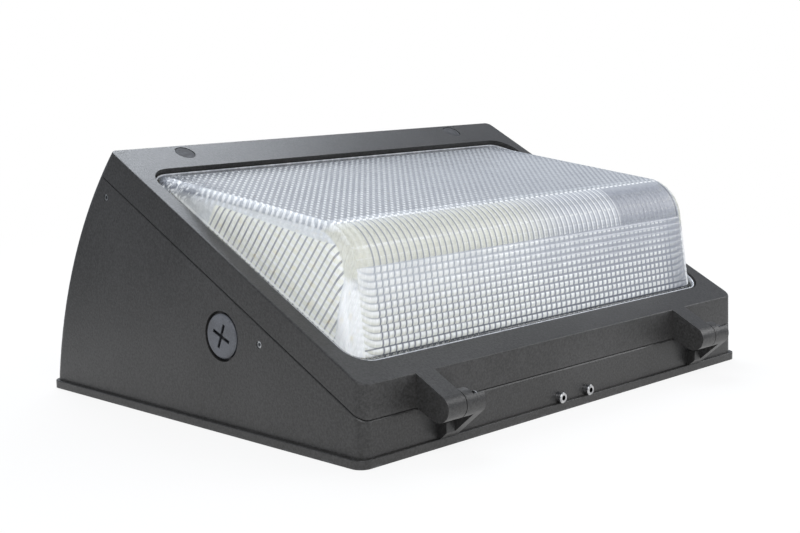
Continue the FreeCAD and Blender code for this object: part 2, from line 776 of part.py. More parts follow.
# ---------------------------------------------------------------- tray and boards
def tray():
    low = -tray_drop - tray_thick
    floor = plate(tray_side, tray_front, tray_back, low, -tray_drop, 3.0)
    for x in (-screw_side, screw_side):
        floor = floor.cut(post_clearance_cut(x))
    ends = (tray_screw_along[0] - tray_flange_ahead, tray_back)
    wall = box(tray_side - tray_thick, tray_side, ends[0], ends[1], -tray_drop - tray_flange,
               low + 0.5)
    body = on_seam(floor.fuse(both_sides(wall)))
    cuts = []
    for along in tray_screw_along:
        p = tray_screw_point(along)
        cuts += both_sides(rod_x(tray_side - 5, tray_side + 5, p.y, p.z,
                                 tray_screw_radius + pin_seat))
    hole = on_seam(rod_z(tray_hole_x, tray_hole_along, -20, 5, tray_hole))
    screws = [on_seam(rod_z(x, y, -20, 5, board_screw_radius + pin_seat))
              for x, y in board_screw_places()]
    return body.cut(cuts + [hole] + screws).removeSplitter()


def post_clearance_cut(x):
    """Notch in the tray round a captive screw's post, open to the back."""
    foot = V(x, screw_along, -screw_tip / 1.4)
    away = FreeCAD.Placement(door_origin, FreeCAD.Rotation(V(1, 0, 0), door_slope)).multVec(foot)
    along = (away - seam_origin).dot(V(0, cos(seam_slope), sin(seam_slope)))
    radius = screw_post + post_clearance
    notch = rod_z(x, along, -span / 2, span / 2, radius)
    return notch.fuse(box(x - radius, x + radius, along, along + span, -span / 2, span / 2))


def tray_screws():
    screws = []
    for along in tray_screw_along:
        p = tray_screw_point(along)
        outer = side_at(p.z) - tray_screw_inset
        screw = rod_x(tray_side - tray_thick - tray_screw_past, outer, p.y, p.z,
                      tray_screw_radius)
        socket = hexagon(1.2, -1.0, 1.8)
        socket.rotate(V(0, 0, 0), V(0, 1, 0), 90)
        socket.translate(V(outer - 1.0, p.y, p.z))
        screws += both_sides(screw.cut(socket))
    return Part.makeCompound(screws)


def board_screw_places():
    dx = board_width / 2 - board_screw_inset
    du = board_length / 2 - board_screw_inset
    return [(sx * board_middle + tx * dx, board_along + tu * du)
            for sx in (-1, 1) for tx in (-1, 1) for tu in (-1, 1)]


def led_board(sign):
    x = sign * board_middle
    body = box(x - board_width / 2, x + board_width / 2, board_along - board_length / 2,
               board_along + board_length / 2, -tray_drop, -tray_drop + board_thick)
    holes = [rod_z(px, py, -10, 10, board_screw_radius + seat_gap)
             for px, py in board_screw_places()]
    return on_seam(body.cut(holes))


def led_chips(sign):
    chips = []
    low = -tray_drop + board_thick
    half = chip_size / 2
    for i in range(chip_columns):
        for j in range(chip_rows):
            x = sign * board_middle + (i - (chip_columns - 1) / 2) * chip_pitch_x
            y = board_along + (j - (chip_rows - 1) / 2) * chip_pitch_u
            chips.append(on_seam(box(x - half, x + half, y - half, y + half,
                                     low, low + chip_height)))
    return Part.makeCompound(chips)


def board_screws():
    screws = []
    top = -tray_drop + board_thick
    for x, y in board_screw_places():
        head = rod_z(x, y, top, top + board_screw_height, board_screw_head)
        head = head.makeFillet(0.6, [e for e in head.Edges if e.BoundBox.ZMin > top + 0.5])
        shank = rod_z(x, y, -tray_drop - tray_thick - 1.5, top, board_screw_radius)
        socket = hexagon(1.0, top + board_screw_height - 0.9, top + board_screw_height + 1)
        socket.translate(V(x, y, 0))
        screws.append(on_seam(head.fuse(shank).removeSplitter().cut(socket)))
    return Part.makeCompound(screws)


def board_link():
    """Edge connector that feeds both boards, over the lead's hole in the tray."""
    body = box(-link_width / 2, link_width / 2, link_front, link_front + link_length,
               -tray_drop, -tray_drop + link_height)
    well = rod_z(tray_hole_x, tray_hole_along, -10, link_ceiling, tray_grommet_lip + 0.3)
    rim = [e for e in body.Edges if e.BoundBox.ZMin > -tray_drop + link_height - 0.01]
    return on_seam(body.makeFillet(0.8, rim).cut(well))


def tray_grommet():
    low = -tray_drop - tray_thick
    lip = tray_grommet_lip_thick
    body = rod_z(0, 0, low - lip, low, tray_grommet_lip)
    body = body.fuse(rod_z(0, 0, low, -tray_drop, tray_hole - grommet_gap))
    body = body.fuse(rod_z(0, 0, -tray_drop, -tray_drop + lip, tray_grommet_lip))
    body = body.removeSplitter().cut(rod_z(0, 0, -20, 20, lead_radius + lead_gap))
    body.translate(V(tray_hole_x, tray_hole_along, 0))
    return on_seam(body)


# ---------------------------------------------------------------- driver and wiring
def driver_floor():
    return back_plate + driver_post


def driver():
    low = driver_floor()
    body = box(-driver_width / 2, driver_width / 2, driver_y - driver_depth / 2,
               driver_y + driver_depth / 2, low, low + driver_height)
    along = [e for e in body.Edges if e.BoundBox.XLength > driver_width / 2]
    return body.makeFillet(2.5, along)


def driver_ends():
    """End caps with the screw ears."""
    caps = []
    low = driver_floor()
    for sign in (-1, 1):
        x0 = driver_width / 2
        cap = box(x0, x0 + driver_cap, driver_y - driver_depth / 2, driver_y + driver_depth / 2,
                  low, low + driver_height)
        along = [e for e in cap.Edges if e.BoundBox.XLength > driver_cap / 2]
        cap = cap.makeFillet(2.0, along)
        ear = box(x0 + driver_cap - 1, x0 + driver_ear, driver_y - driver_depth / 2,
                  driver_y + driver_depth / 2, low, low + driver_ear_thick)
        cap = cap.fuse(ear).removeSplitter()
        for x, y in driver_post_places():
            if x > 0:
                cap = cap.cut(rod_z(x, y, low - 1, low + 5, driver_screw_radius + seat_gap))
        cap = cap.cut(rod_x(x0 + driver_cap - lead_socket, x0 + driver_cap + 1, driver_y,
                            driver_lead_z(), lead_radius + lead_gap))
        caps.append(cap if sign > 0 else mirrored(cap))
    return Part.makeCompound(caps)


def driver_lead_z():
    return driver_floor() + driver_height / 2


def driver_screws():
    screws = []
    seat = driver_floor() + driver_ear_thick
    for x, y in driver_post_places():
        head = rod_z(x, y, seat, seat + driver_screw_height, driver_screw_head)
        head = head.makeFillet(0.8, [e for e in head.Edges if e.BoundBox.ZMin > seat + 1])
        shank = rod_z(x, y, back_plate + 0.5, seat, driver_screw_radius)
        screw = head.fuse(shank).removeSplitter()
        screws.append(screw.cut(box(x - 3, x + 3, y - 0.5, y + 0.5,
                                    seat + driver_screw_height - 1.0, seat + 10)))
    return Part.makeCompound(screws)


def bracket_face():
    """y of the terminal bracket's face against the front wall."""
    return front_at(back_plate + seat_gap + bracket_height) + body_wall + seat_gap


def bracket_floor():
    return back_plate + seat_gap + bracket_thick


def terminal_bracket():
    """Angle behind the front wall: the front screws hold it and it carries the terminals."""
    x0, x1 = bracket_x - bracket_width / 2, bracket_x + bracket_width / 2
    low = back_plate + seat_gap
    face = bracket_face()
    upright = box(x0, x1, face, face + bracket_thick, low, low + bracket_height)
    leg = box(x0, x1, face, face + bracket_depth, low, low + bracket_thick)
    body = upright.fuse(leg).removeSplitter()
    for x in front_screw_x:
        body = body.cut(Part.makeCylinder(front_screw_radius + seat_gap, 10,
                                          V(x, face - 5, front_screw_z), V(0, 1, 0)))
    for x in block_fixing_places():
        body = body.cut(rod_z(x, block_front() + block_depth / 2, low - 1, low + 5,
                              block_shank + pin_seat))
    return body


def front_screws():
    screws = []
    seat = front_at(front_screw_z - front_screw_head) - seat_gap
    end = bracket_face() + bracket_thick + front_nut_height + front_screw_past
    for x in front_screw_x:
        head = Part.makeCylinder(front_screw_head, front_screw_head_height,
                                 V(x, seat - front_screw_head_height, front_screw_z), V(0, 1, 0))
        head = head.makeChamfer(0.4, [e for e in head.Edges
                                      if e.BoundBox.YMax < seat - 0.5 * front_screw_head_height])
        shank = Part.makeCylinder(front_screw_radius, end - seat,
                                  V(x, seat, front_screw_z), V(0, 1, 0))
        socket = hexagon(front_screw_socket, 0, front_screw_socket + 1)
        socket.rotate(V(0, 0, 0), V(1, 0, 0), -90)
        socket.translate(V(x, seat - front_screw_head_height - 1, front_screw_z))
        screws.append(head.fuse(shank).removeSplitter().cut(socket))
    return Part.makeCompound(screws)


def front_nuts():
    nuts = []
    start = bracket_face() + bracket_thick
    for x in front_screw_x:
        nut = hexagon(front_nut, 0, front_nut_height)
        nut = nut.cut(rod_z(0, 0, -1, 10, front_screw_radius + pin_seat))
        nut.rotate(V(0, 0, 0), V(1, 0, 0), -90)
        nut.translate(V(x, start, front_screw_z))
        nuts.append(nut)
    return Part.makeCompound(nuts)


def block_front():
    return bracket_face() + bracket_thick + block_setback


def pole_places():
    pitch = block_width / block_poles
    return [bracket_x + (i - (block_poles - 1) / 2) * pitch for i in range(block_poles)]


def block_fixing_places():
    poles = pole_places()
    return [(poles[0] + poles[1]) / 2, (poles[-2] + poles[-1]) / 2]


def block_screw_places():
    rows = (block_front() + block_row, block_front() + block_depth - block_row)
    return [(x, y) for x in pole_places() for y in rows]


def terminal_block():
    low = bracket_floor()
    top = low + block_height
    front, back = block_front(), block_front() + block_depth
    body = box(bracket_x - block_width / 2, bracket_x + block_width / 2, front, back, low, top)
    body = body.makeFillet(0.6, [e for e in body.Edges if e.BoundBox.ZMin > top - 0.01])
    cuts = []
    for x, y in block_screw_places():
        cuts.append(rod_z(x, y, top - block_well, top + 1, block_screw + lead_gap))
        cuts.append(rod_z(x, y, top - block_well - block_shank_length, top,
                          block_shank + pin_seat))
    for x in pole_places():
        for y in (front - 1, back - block_wire_depth):
            cuts.append(Part.makeCylinder(block_wire_hole, block_wire_depth + 1,
                                          V(x, y, low + block_wire_height), V(0, 1, 0)))
    for x in block_fixing_places():
        y = (front + back) / 2
        cuts.append(rod_z(x, y, low - 1, top + 1, block_shank + pin_seat))
        cuts.append(rod_z(x, y, top - block_well, top + 1, block_screw + lead_gap))
    return body.cut(cuts)


def slotted_screw(x, y, seat, shank_length):
    head = rod_z(x, y, seat, seat + block_screw_height, block_screw)
    shank = rod_z(x, y, seat - shank_length, seat, block_shank)
    slot = box(x - 4, x + 4, y - 0.4, y + 0.4, seat + block_screw_height - 0.7, seat + 5)
    return head.fuse(shank).removeSplitter().cut(slot)


def terminal_screws():
    seat = bracket_floor() + block_height - block_well
    return Part.makeCompound([slotted_screw(x, y, seat, block_shank_length)
                              for x, y in block_screw_places()])


def block_fixing_screws():
    seat = bracket_floor() + block_height - block_well
    y = block_front() + block_depth / 2
    return Part.makeCompound([slotted_screw(x, y, seat, seat - back_plate - seat_gap)
                              for x in block_fixing_places()])


def earth_level():
    return back_plate + earth_post_height


def earth_screw():
    seat = earth_level() + earth_lug_thick
    head = hexagon(earth_head, seat, seat + earth_head_height)
    shank = rod_z(0, 0, back_plate - 1.0, seat, earth_screw_radius)
    body = head.fuse(shank).removeSplitter()
    body.translate(V(earth_x, earth_y, 0))
    return body


def earth_ring_terminal():
    """Ring terminal with the barrel that grips the earth lead."""
    low = earth_level()
    ring = rod_z(earth_x, earth_y, low, low + earth_lug_thick, earth_lug)
    start = earth_x + earth_head + 0.8
    tongue = box(earth_x + 1, start + 1, earth_y - earth_barrel * 0.8,
                 earth_y + earth_barrel * 0.8, low, low + earth_lug_thick)
    barrel = rod_x(start, start + earth_barrel_length, earth_y, low + earth_barrel, earth_barrel)
    body = ring.fuse([tongue, barrel]).removeSplitter()
    body = body.cut(rod_x(start + 2, start + earth_barrel_length + 1, earth_y,
                          low + earth_barrel, earth_lead + pin_seat))
    return body.cut(rod_z(earth_x, earth_y, low - 1, low + 8, earth_screw_radius + pin_seat))


def cable(points, radius):
    """Round lead along straight runs joined by tangent arcs."""
    edges = []
    start = points[0]
    for before, corner, after in zip(points, points[1:], points[2:]):
        back, ahead = before - corner, after - corner
        trim = lead_bend * min(back.Length, ahead.Length)
        half_turn = (math.pi - back.getAngle(ahead)) / 2
        bend = trim / math.tan(half_turn)
        back.normalize()
        ahead.normalize()
        middle = (back + ahead).normalize()
        first, last = corner + back * trim, corner + ahead * trim
        crown = corner + middle * (bend / math.cos(half_turn) - bend)
        edges.append(Part.LineSegment(start, first).toShape())
        edges.append(Part.Arc(first, crown, last).toShape())
        start = last
        print("bend radius", round(bend, 1))
    edges.append(Part.LineSegment(start, points[-1]).toShape())
    path = Part.Wire(edges)
    ring = Part.Wire(Part.makeCircle(radius, points[0], points[1] - points[0]))
    tube = path.makePipeShell([ring], True, False)
    print("lead", round(path.Length, 1), round(tube.Volume / (math.pi * radius ** 2), 1))
    return tube


def lead_supply():
    """From the terminal block to the driver's right end."""
    x = pole_places()[-1]
    z = bracket_floor() + block_wire_height
    y = block_front() + block_depth - block_wire_depth
    end = driver_width / 2 + driver_cap - lead_socket
    level = V(0, 0, driver_lead_z())
    turns = [V(*turn) + V(0, 0, z) for turn in supply_turns]
    return cable([V(x, y, z), V(x, y + supply_start, z)] + turns
                 + [V(*supply_rise) + level, V(end + driver_lead_run, driver_y, 0) + level,
                    V(end, driver_y, 0) + level], lead_radius)


def lead_boards():
    """From the driver's left end up through the tray to the boards."""
    end = driver_width / 2 + driver_cap - lead_socket
    z = driver_lead_z()
    normal = V(0, -sin(seam_slope), cos(seam_slope))
    foot = seam_origin + V(0, tray_hole_along * cos(seam_slope), tray_hole_along * sin(seam_slope))
    corner = V(-end - board_lead_run, driver_y, z)
    return cable([V(-end, driver_y, z), corner, corner + V(*board_lead_up),
                  corner + V(*board_lead_over), foot - normal * board_lead_under,
                  foot + normal * link_ceiling], lead_radius)


def lead_earth():
    """From the earth screw's ring terminal to the terminal block."""
    z = earth_level() + earth_barrel
    x = pole_places()[0]
    start = earth_x + earth_head + 0.8 + 2
    y = block_front() + block_depth - block_wire_depth
    level = bracket_floor() + block_wire_height
    return cable([V(start, earth_y, z), V(start + earth_lead_run, earth_y, z),
                  V(x, earth_lead_turn, level), V(x, y, level)], earth_lead)


def entry_grommet():
    body = rod_z(0, 0, grommet_back, back_plate, entry_hole - grommet_gap)
    lip = rod_z(0, 0, back_plate, back_plate + grommet_lip_thick, grommet_lip)
    lip = lip.makeFillet(0.8, [e for e in lip.Edges if e.BoundBox.ZMin > back_plate + 1])
    return body.fuse(lip).removeSplitter().cut(rod_z(0, 0, -5, 20, grommet_bore))


# ---------------------------------------------------------------- conduit plugs
def conduit_plug():
    """Round plug with a cross slot that closes the right-hand conduit entry."""
    floor = side_at(plug_z) - plug_recess_depth
    face = side_at(plug_z) + plug_proud
    head = rod_x(floor + plug_seal_thick, face, plug_y, plug_z, plug_head)
    head = head.makeChamfer(plug_bevel, [e for e in head.Edges if e.BoundBox.XMin > face - 0.1])
    thread = rod_x(floor - plug_length, floor + plug_seal_thick, plug_y, plug_z, plug_thread)
    body = head.fuse(thread).removeSplitter()
    half = plug_slot_length / 2
    for turn in (plug_slot_turn, plug_slot_turn + 90):
        slot = box(face - plug_slot_depth, face + 1, -half, half,
                   -plug_slot_width / 2, plug_slot_width / 2)
        slot.rotate(V(0, 0, 0), V(1, 0, 0), turn)
        slot.translate(V(0, plug_y, plug_z))
        body = body.cut(slot)
    return body


def plug_seals():
    floor = side_at(plug_z) - plug_recess_depth
    ring = rod_x(floor, floor + plug_seal_thick, plug_y, plug_z, plug_seal)
    ring = ring.cut(rod_x(floor - 1, floor + 2, plug_y, plug_z, plug_thread + plug_thread_gap))
    return Part.makeCompound(both_sides(ring))


# ---------------------------------------------------------------- all pieces
nodes = {
    "housing": housing(),
    "door_frame": door_frame(),
    "door_gasket": door_gasket(),
    "refractor": refractor(),
    "refractor_gasket": refractor_gasket(),
    "glass_clips": glass_clips(),
    "clip_screws": clip_screws(),
    "hinge_pin_left": hinge_pin(hinge_left[0]),
    "hinge_pin_right": hinge_pin(hinge_left[1]),
    "hinge_rings": hinge_rings(),
    "door_screw_left": door_screw(-screw_side),
    "door_screw_right": door_screw(screw_side),
    "screw_cap_left": screw_cover(-screw_side),
    "screw_cap_right": screw_cover(screw_side),
    "screw_ring_left": screw_ring_at(-screw_side),
    "screw_ring_right": screw_ring_at(screw_side),
    "reflector_tray": tray(),
    "tray_screws": tray_screws(),
    "tray_grommet": tray_grommet(),
    "led_board_left": led_board(-1),
    "led_board_right": led_board(1),
    "led_chips_left": led_chips(-1),
    "led_chips_right": led_chips(1),
    "board_screws": board_screws(),
    "board_connector": board_link(),
    "driver": driver(),
    "driver_end_caps": driver_ends(),
    "driver_screws": driver_screws(),
    "terminal_bracket": terminal_bracket(),
    "front_screws": front_screws(),
    "front_nuts": front_nuts(),
    "terminal_block": terminal_block(),
    "terminal_screws": terminal_screws(),
    "block_fixing_screws": block_fixing_screws(),
    "earth_screw": earth_screw(),
    "earth_terminal": earth_ring_terminal(),
    "lead_supply": lead_supply(),
    "lead_boards": lead_boards(),
    "lead_earth": lead_earth(),
    "entry_grommet": entry_grommet(),
    "conduit_plug_left": mirrored(conduit_plug()),
    "conduit_plug_right": conduit_plug(),
    "plug_seals": plug_seals(),
}

os.makedirs("parts", exist_ok=True)
for name, shape in nodes.items():
    print(name, len(shape.Solids), shape.isValid(), round(shape.Volume, 1))
    shape.exportStep("parts/" + name + ".step")
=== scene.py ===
import math

import bmesh
import bpy
import numpy as np
from mathutils import Matrix, Vector


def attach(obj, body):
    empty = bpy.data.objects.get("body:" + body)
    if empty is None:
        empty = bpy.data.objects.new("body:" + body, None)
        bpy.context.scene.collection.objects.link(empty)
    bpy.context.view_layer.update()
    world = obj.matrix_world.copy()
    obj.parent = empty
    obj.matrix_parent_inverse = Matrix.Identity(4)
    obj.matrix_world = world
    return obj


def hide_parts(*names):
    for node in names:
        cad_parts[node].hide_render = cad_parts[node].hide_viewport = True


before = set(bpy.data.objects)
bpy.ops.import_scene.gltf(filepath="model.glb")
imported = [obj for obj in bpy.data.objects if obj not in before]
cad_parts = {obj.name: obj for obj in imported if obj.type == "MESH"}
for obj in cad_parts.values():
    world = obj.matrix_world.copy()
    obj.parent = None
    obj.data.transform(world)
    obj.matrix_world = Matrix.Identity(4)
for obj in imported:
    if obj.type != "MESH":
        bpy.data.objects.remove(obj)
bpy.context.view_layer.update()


# ------------------------------------------------------------------ camera
# The photograph was taken from the left front corner, a little above the light,
# with a long lens. Place and turn are the ones that its straight edges give.
picture_width = 800.0
focal_length = 1450.71              # in pixels of that width
camera_place = Vector((-0.69469, -0.67965, 0.22145))
camera_right = Vector((0.698727, -0.715230, -0.015042))
camera_down = Vector((-0.118400, -0.094881, -0.988422))
camera_forward = Vector((0.705522, 0.692419, -0.150979))

lens = bpy.data.cameras.new("camera")
lens.sensor_width = 36.0
lens.lens = focal_length / picture_width * lens.sensor_width
lens.clip_start = 0.01
camera = bpy.data.objects.new("camera", lens)
bpy.context.scene.collection.objects.link(camera)
turn = Matrix((camera_right, -camera_down, -camera_forward)).transposed()
camera.matrix_world = Matrix.Translation(camera_place) @ turn.to_4x4()
bpy.context.scene.camera = camera
bpy.context.scene.view_settings.view_transform = "Standard"


# ------------------------------------------------------------------ floor and room
# White paper lies under and behind the light: it keeps the light's own shadow and is
# white where the camera, a mirror or the glass looks at it. The room is cool and plain.
class Wire:
    """A shader socket that can stand in a formula: each operator adds its Math node."""

    def __init__(self, tree, socket=None):
        self.tree = tree
        self.socket = socket

    def node(self, kind, settings=None, result=0, **sockets):
        """Add a node: first its settings, then the values or wires of its sockets.

        A socket is named with _ for a space, or numbered with _ before the number.
        """
        made = self.tree.nodes.new("ShaderNode" + kind)
        for name, value in (settings or {}).items():
            setattr(made, name, value)
        for name, value in sockets.items():
            key = int(name[1:]) if name[0] == "_" else name.replace("_", " ")
            self.plug(value, made.inputs[key])
        return Wire(self.tree, made.outputs[result] if made.outputs else None)

    def plug(self, value, socket):
        """Link a wire to a socket, or set the socket to a plain value."""
        if isinstance(value, Wire):
            self.tree.links.new(value.socket, socket)
        else:
            socket.default_value = value

    def maths(self, operation, *others):
        values = {f"_{i}": v for i, v in enumerate((self, *others))}
        return self.node("Math", {"operation": operation}, **values)

    def __add__(self, other): return self.maths("ADD", other)
    def __radd__(self, other): return self.maths("ADD", other)
    def __mul__(self, other): return self.maths("MULTIPLY", other)
    def __rmul__(self, other): return self.maths("MULTIPLY", other)
    def __sub__(self, other): return self.maths("SUBTRACT", other)
    def __rsub__(self, other): return (self * -1.0) + other
    def __truediv__(self, other): return self.maths("DIVIDE", other)
    def __abs__(self): return self.maths("ABSOLUTE")

    def __rtruediv__(self, other):
        return self.node("Math", {"operation": "DIVIDE"}, _0=other, _1=self)

    def larger(self, other): return self.maths("MAXIMUM", other)
    def smaller(self, other): return self.maths("MINIMUM", other)

    def step(self, low, high):
        """0 below low, 1 above high, a smooth rise between them."""
        return self.node("MapRange", {"interpolation_type": "SMOOTHSTEP"},
                         _0=self, _1=low, _2=high)

    def line(self, middle, half, soft):
        """1 on one line of that half width, falling to 0 over soft."""
        return 1.0 - abs(self - middle).step(half, half + soft)

    def lines(self, start, pitch, half, soft):
        """The same on lines that are one pitch apart, of which one is at start."""
        off = (self - start).maths("PINGPONG", pitch / 2)
        return 1.0 - off.step(half, half + soft)

    def blend(self, first, second):
        """Colour between two colours, by this wire as the share of the second."""
        return self.node("Mix", {"data_type": "RGBA"}, result=2, _0=self, _6=first, _7=second)


floor_size = 6.0
floor_drop = 0.0004                 # keeps the paper out of the flange's wall face
paper_sheet = bpy.data.meshes.new("paper_sheet")
corner = floor_size / 2
paper_sheet.from_pydata([(-corner, -corner, 0), (corner, -corner, 0),
                         (corner, corner, 0), (-corner, corner, 0)], [], [(0, 1, 2, 3)])
floor = bpy.data.objects.new("floor", paper_sheet)
floor.location.z = -floor_drop
bpy.context.scene.collection.objects.link(floor)

# The paper is lit, with a share of plain white over it. The camera sees a little less
# of that near the light. A mirror sees less and less with the distance, in metres, and
# the room's dark end instead.
paper = bpy.data.materials.new("paper")
paper.use_nodes = True
paper.node_tree.nodes.clear()
start = Wire(paper.node_tree)
seen = start.node("LightPath", result=0)
mirrored = start.node("LightPath", result=3)
through = start.node("LightPath", result=6)
white_near = 0.87                   # share that the camera sees, 1 far off
mirror_near = 0.88                  # and a mirror
mirror_far = 0.10
spot = start.node("TexCoord", result=3)
reach = start.node("VectorMath", {"operation": "LENGTH"}, result=1, _0=spot)
white_seen = seen.larger(through) * (white_near + reach.step(0.3, 0.9) * (1.0 - white_near))
white_mirrored = mirrored * (mirror_near - reach.step(0.3, 1.0) * (mirror_near - mirror_far))
dark_mirrored = mirrored * reach.step(0.38, 0.85) * 0.75
matt = start.node("BsdfDiffuse", Color=(0.92, 0.92, 0.92, 1.0))
glow = start.node("Emission", Color=(1.0, 1.0, 1.0, 1.0), Strength=1.0)
shade = start.node("BsdfDiffuse", Color=(0.03, 0.03, 0.03, 1.0))
sheet = start.node("MixShader", _0=white_seen.larger(white_mirrored), _1=matt, _2=glow)
sheet = start.node("MixShader", _0=dark_mirrored, _1=sheet, _2=shade)
start.node("OutputMaterial", _0=sheet)
paper_sheet.materials.append(paper)

world = bpy.data.worlds.new("studio")
bpy.context.scene.world = world
world.use_nodes = True
world.node_tree.nodes.clear()
start = Wire(world.node_tree)
seen = start.node("LightPath", result=0)
through = start.node("LightPath", result=6)
room = start.node("Background", Color=(0.76, 0.81, 0.91, 1.0), Strength=0.48)
white = start.node("Background", Color=(1.0, 1.0, 1.0, 1.0), Strength=1.0)
sky = start.node("MixShader", _0=seen.larger(through), _1=room, _2=white)
start.node("OutputWorld", _0=sky)


# ------------------------------------------------------------------ lamps
# Three soft boxes: a broad cool one behind, whose mirror image runs along the sloping
# door, one on the camera's side, and a weak one to the right.
def soft_box(name, place, target, size, power, tint=(1.0, 1.0, 1.0)):
    """A square lamp at place that faces target; all in metres and watts."""
    lamp = bpy.data.lights.new(name, "AREA")
    lamp.shape = "SQUARE"
    lamp.size = size
    lamp.energy = power
    lamp.color = tint
    box = bpy.data.objects.new(name, lamp)
    box.location = place
    heading = Vector(target) - Vector(place)
    box.rotation_euler = heading.to_track_quat("-Z", "Y").to_euler()
    bpy.context.scene.collection.objects.link(box)


soft_box("back_box", place=(0.42, 0.78, 1.25), target=(-0.08, 0.0, 0.08),
         size=1.0, power=17.5, tint=(0.88, 0.93, 1.0))
soft_box("front_box", place=(-1.0, -1.4, 1.5), target=(0.0, 0.0, 0.05),
         size=1.2, power=21.0)
soft_box("right_box", place=(1.5, -0.9, 0.9), target=(0.0, 0.0, 0.05),
         size=0.8, power=8.0)


# ------------------------------------------------------------------ housing and door
# Both are aluminium die castings under one textured polyester powder coat, a dark
# bronze-grey. Fine orange peel breaks up every reflection, and the coat is thinner and
# paler along the flange's lip, which gets knocked.
def srgb(red, green, blue):
    """Scene colour of a screen colour in steps of 255, by the screen's curve: a
    straight foot, and above it ((v + 0.055) / 1.055) to the power of 2.4."""
    shades = np.array((red, green, blue)) / 255.0
    linear = np.where(shades < 0.04045, shades / 12.92, ((shades + 0.055) / 1.055) ** 2.4)
    return (*linear.tolist(), 1.0)


def new_finish(name, **constants):
    """A material with its Principled shader's constant sockets set; returns it, its
    place wire in object coordinates and a function that feeds a socket."""
    material = bpy.data.materials.new(name)
    material.use_nodes = True
    tree = material.node_tree
    shader = tree.nodes["Principled BSDF"]
    for key, value in constants.items():
        shader.inputs[key.replace("_", " ")].default_value = value
    place = Wire(tree).node("TexCoord", result=3)

    def feed(socket, wire):
        tree.links.new(wire.socket, shader.inputs[socket])
    return material, place, feed


def noise(place, scale, detail, **more):
    """Clouds of 0 to 1 about this many to the metre, with finer ones by detail."""
    return place.node("TexNoise", Vector=place, Scale=scale, Detail=detail, **more)


def bump(height, strength, depth):
    """Normal of a surface that this wire raises by up to depth, in metres."""
    return height.node("Bump", Strength=strength, Distance=depth, Height=height)


def parts_of(place):
    """The x, y and z wires of a place wire, in millimetres."""
    return [place.node("SeparateXYZ", result=i, _0=place) * 1000.0 for i in range(3)]


def dress(material, *nodes):
    """Give CAD nodes this material in all their slots."""
    for name in nodes:
        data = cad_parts[name].data
        data.materials.clear()
        data.materials.append(material)


lip_top = 1.6                       # the knocked lip's height on the flange
coat, place, feed = new_finish("powder_coat", Metallic=0.0, Specular_IOR_Level=0.5)
tall = parts_of(place)[2]
cloud = noise(place, scale=11.0, detail=3.0)
grain = noise(place, scale=900.0, detail=3.0, Roughness=0.6)
peel = noise(place, scale=720.0, detail=2.0)
scuff = noise(place, scale=55.0, detail=6.0, Roughness=0.75)
speck = place.node("TexVoronoi", Vector=place, Scale=1300.0)
tone = (cloud * 0.25 + grain * 0.35 + peel * 0.40).step(0.34, 0.66)
coated = tone.blend(srgb(38, 37, 35), srgb(66, 65, 64))
lip = 1.0 - tall.step(0.3, lip_top)
worn = lip * scuff.step(0.50, 0.66) * 0.5
feed("Base Color", worn.blend(coated, srgb(122, 124, 126)))
feed("Roughness", grain * 0.20 + scuff * 0.08 + 0.27)
feed("Normal", bump(grain * 0.60 + speck * 0.20 + peel * 0.3, strength=0.45, depth=0.00035))
dress(coat, "housing", "door_frame")


# ------------------------------------------------------------------ conduit plugs
# Round zinc castings with a cross slot, screwed into the two side entries. Their coat
# is smoother and a shade paler than the housing's, and painted shade darkens it down
# in the slot.
def hypotenuse(first, second):
    """Square root of the sum of two wires' squares."""
    return (first * first + second * second).maths("SQRT")


plug_box = np.array(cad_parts["conduit_plug_right"].bound_box) * 1000.0
plug_face = plug_box[:, 0].max()
plug_deep, plug_tall = plug_box[:, 1:].mean(0)
slot_reach = 8.4                    # slots end this far from the plug's middle
slot_lip = 0.3                      # depth at which the slot's shade begins

cast, place, feed = new_finish("plug_coat", Metallic=0.0, Specular_IOR_Level=0.6)
across, deep, tall = parts_of(place)
grain = noise(place, scale=1100.0, detail=3.0)
cloud = noise(place, scale=90.0, detail=4.0)
toned = (grain * 0.5 + cloud * 0.5).step(0.35, 0.65).blend(srgb(82, 84, 88),
                                                          srgb(102, 104, 109))
from_axis = hypotenuse(deep - plug_deep, tall - plug_tall)
# Painted shade: the coat down in the slot, below its lip, is coloured near black.
slot_shade = ((1.0 - abs(across).step(plug_face - 1.0, plug_face - slot_lip))
        * (1.0 - from_axis.step(slot_reach, slot_reach + 0.8)))
feed("Base Color", slot_shade.blend(toned, srgb(34, 35, 38)))
feed("Roughness", grain * 0.2 + cloud * 0.1 + 0.24)
feed("Normal", bump(grain, strength=0.3, depth=0.0002))
dress(cast, "conduit_plug_left", "conduit_plug_right")


# ------------------------------------------------------------------ bright screws
# Front socket screws, captive door screws, spring rings and glass clips are stainless
# steel, turned or stamped and then tumbled: a fine satin with cloudy patches, and
# painted shade dark down in the front screws' sockets.
front_screw_left = -14.9            # x of the two screws, in millimetres,
front_screw_right = 12.3
front_screw_tall = 8.6              # and their z
front_wall = -146.0                 # y before which only their heads stand
socket_radius = 1.45

bright, place, feed = new_finish("stainless", Metallic=1.0)
across, deep, tall = parts_of(place)
patch = noise(place, scale=340.0, detail=4.0)
turned = noise(place, scale=4200.0, detail=2.0)
to_screw = abs(across - front_screw_left).smaller(abs(across - front_screw_right))
from_axis = hypotenuse(to_screw, tall - front_screw_tall)
# Painted shade: the steel down in the front screws' sockets is coloured near black.
socket = ((1.0 - from_axis.step(socket_radius, socket_radius + 0.3))
          * (1.0 - deep.step(front_wall - 0.2, front_wall)))
polished = patch.step(0.3, 0.7).blend(srgb(150, 151, 154), srgb(206, 206, 206))
feed("Base Color", socket.blend(polished, srgb(22, 22, 24)))
feed("Roughness", patch * 0.18 + turned * 0.10 + 0.14)
feed("Normal", bump(turned, strength=0.25, depth=0.00008))
dress(bright, "front_screws", "door_screw_left", "door_screw_right", "screw_ring_left",
      "screw_ring_right", "glass_clips", "hinge_rings")


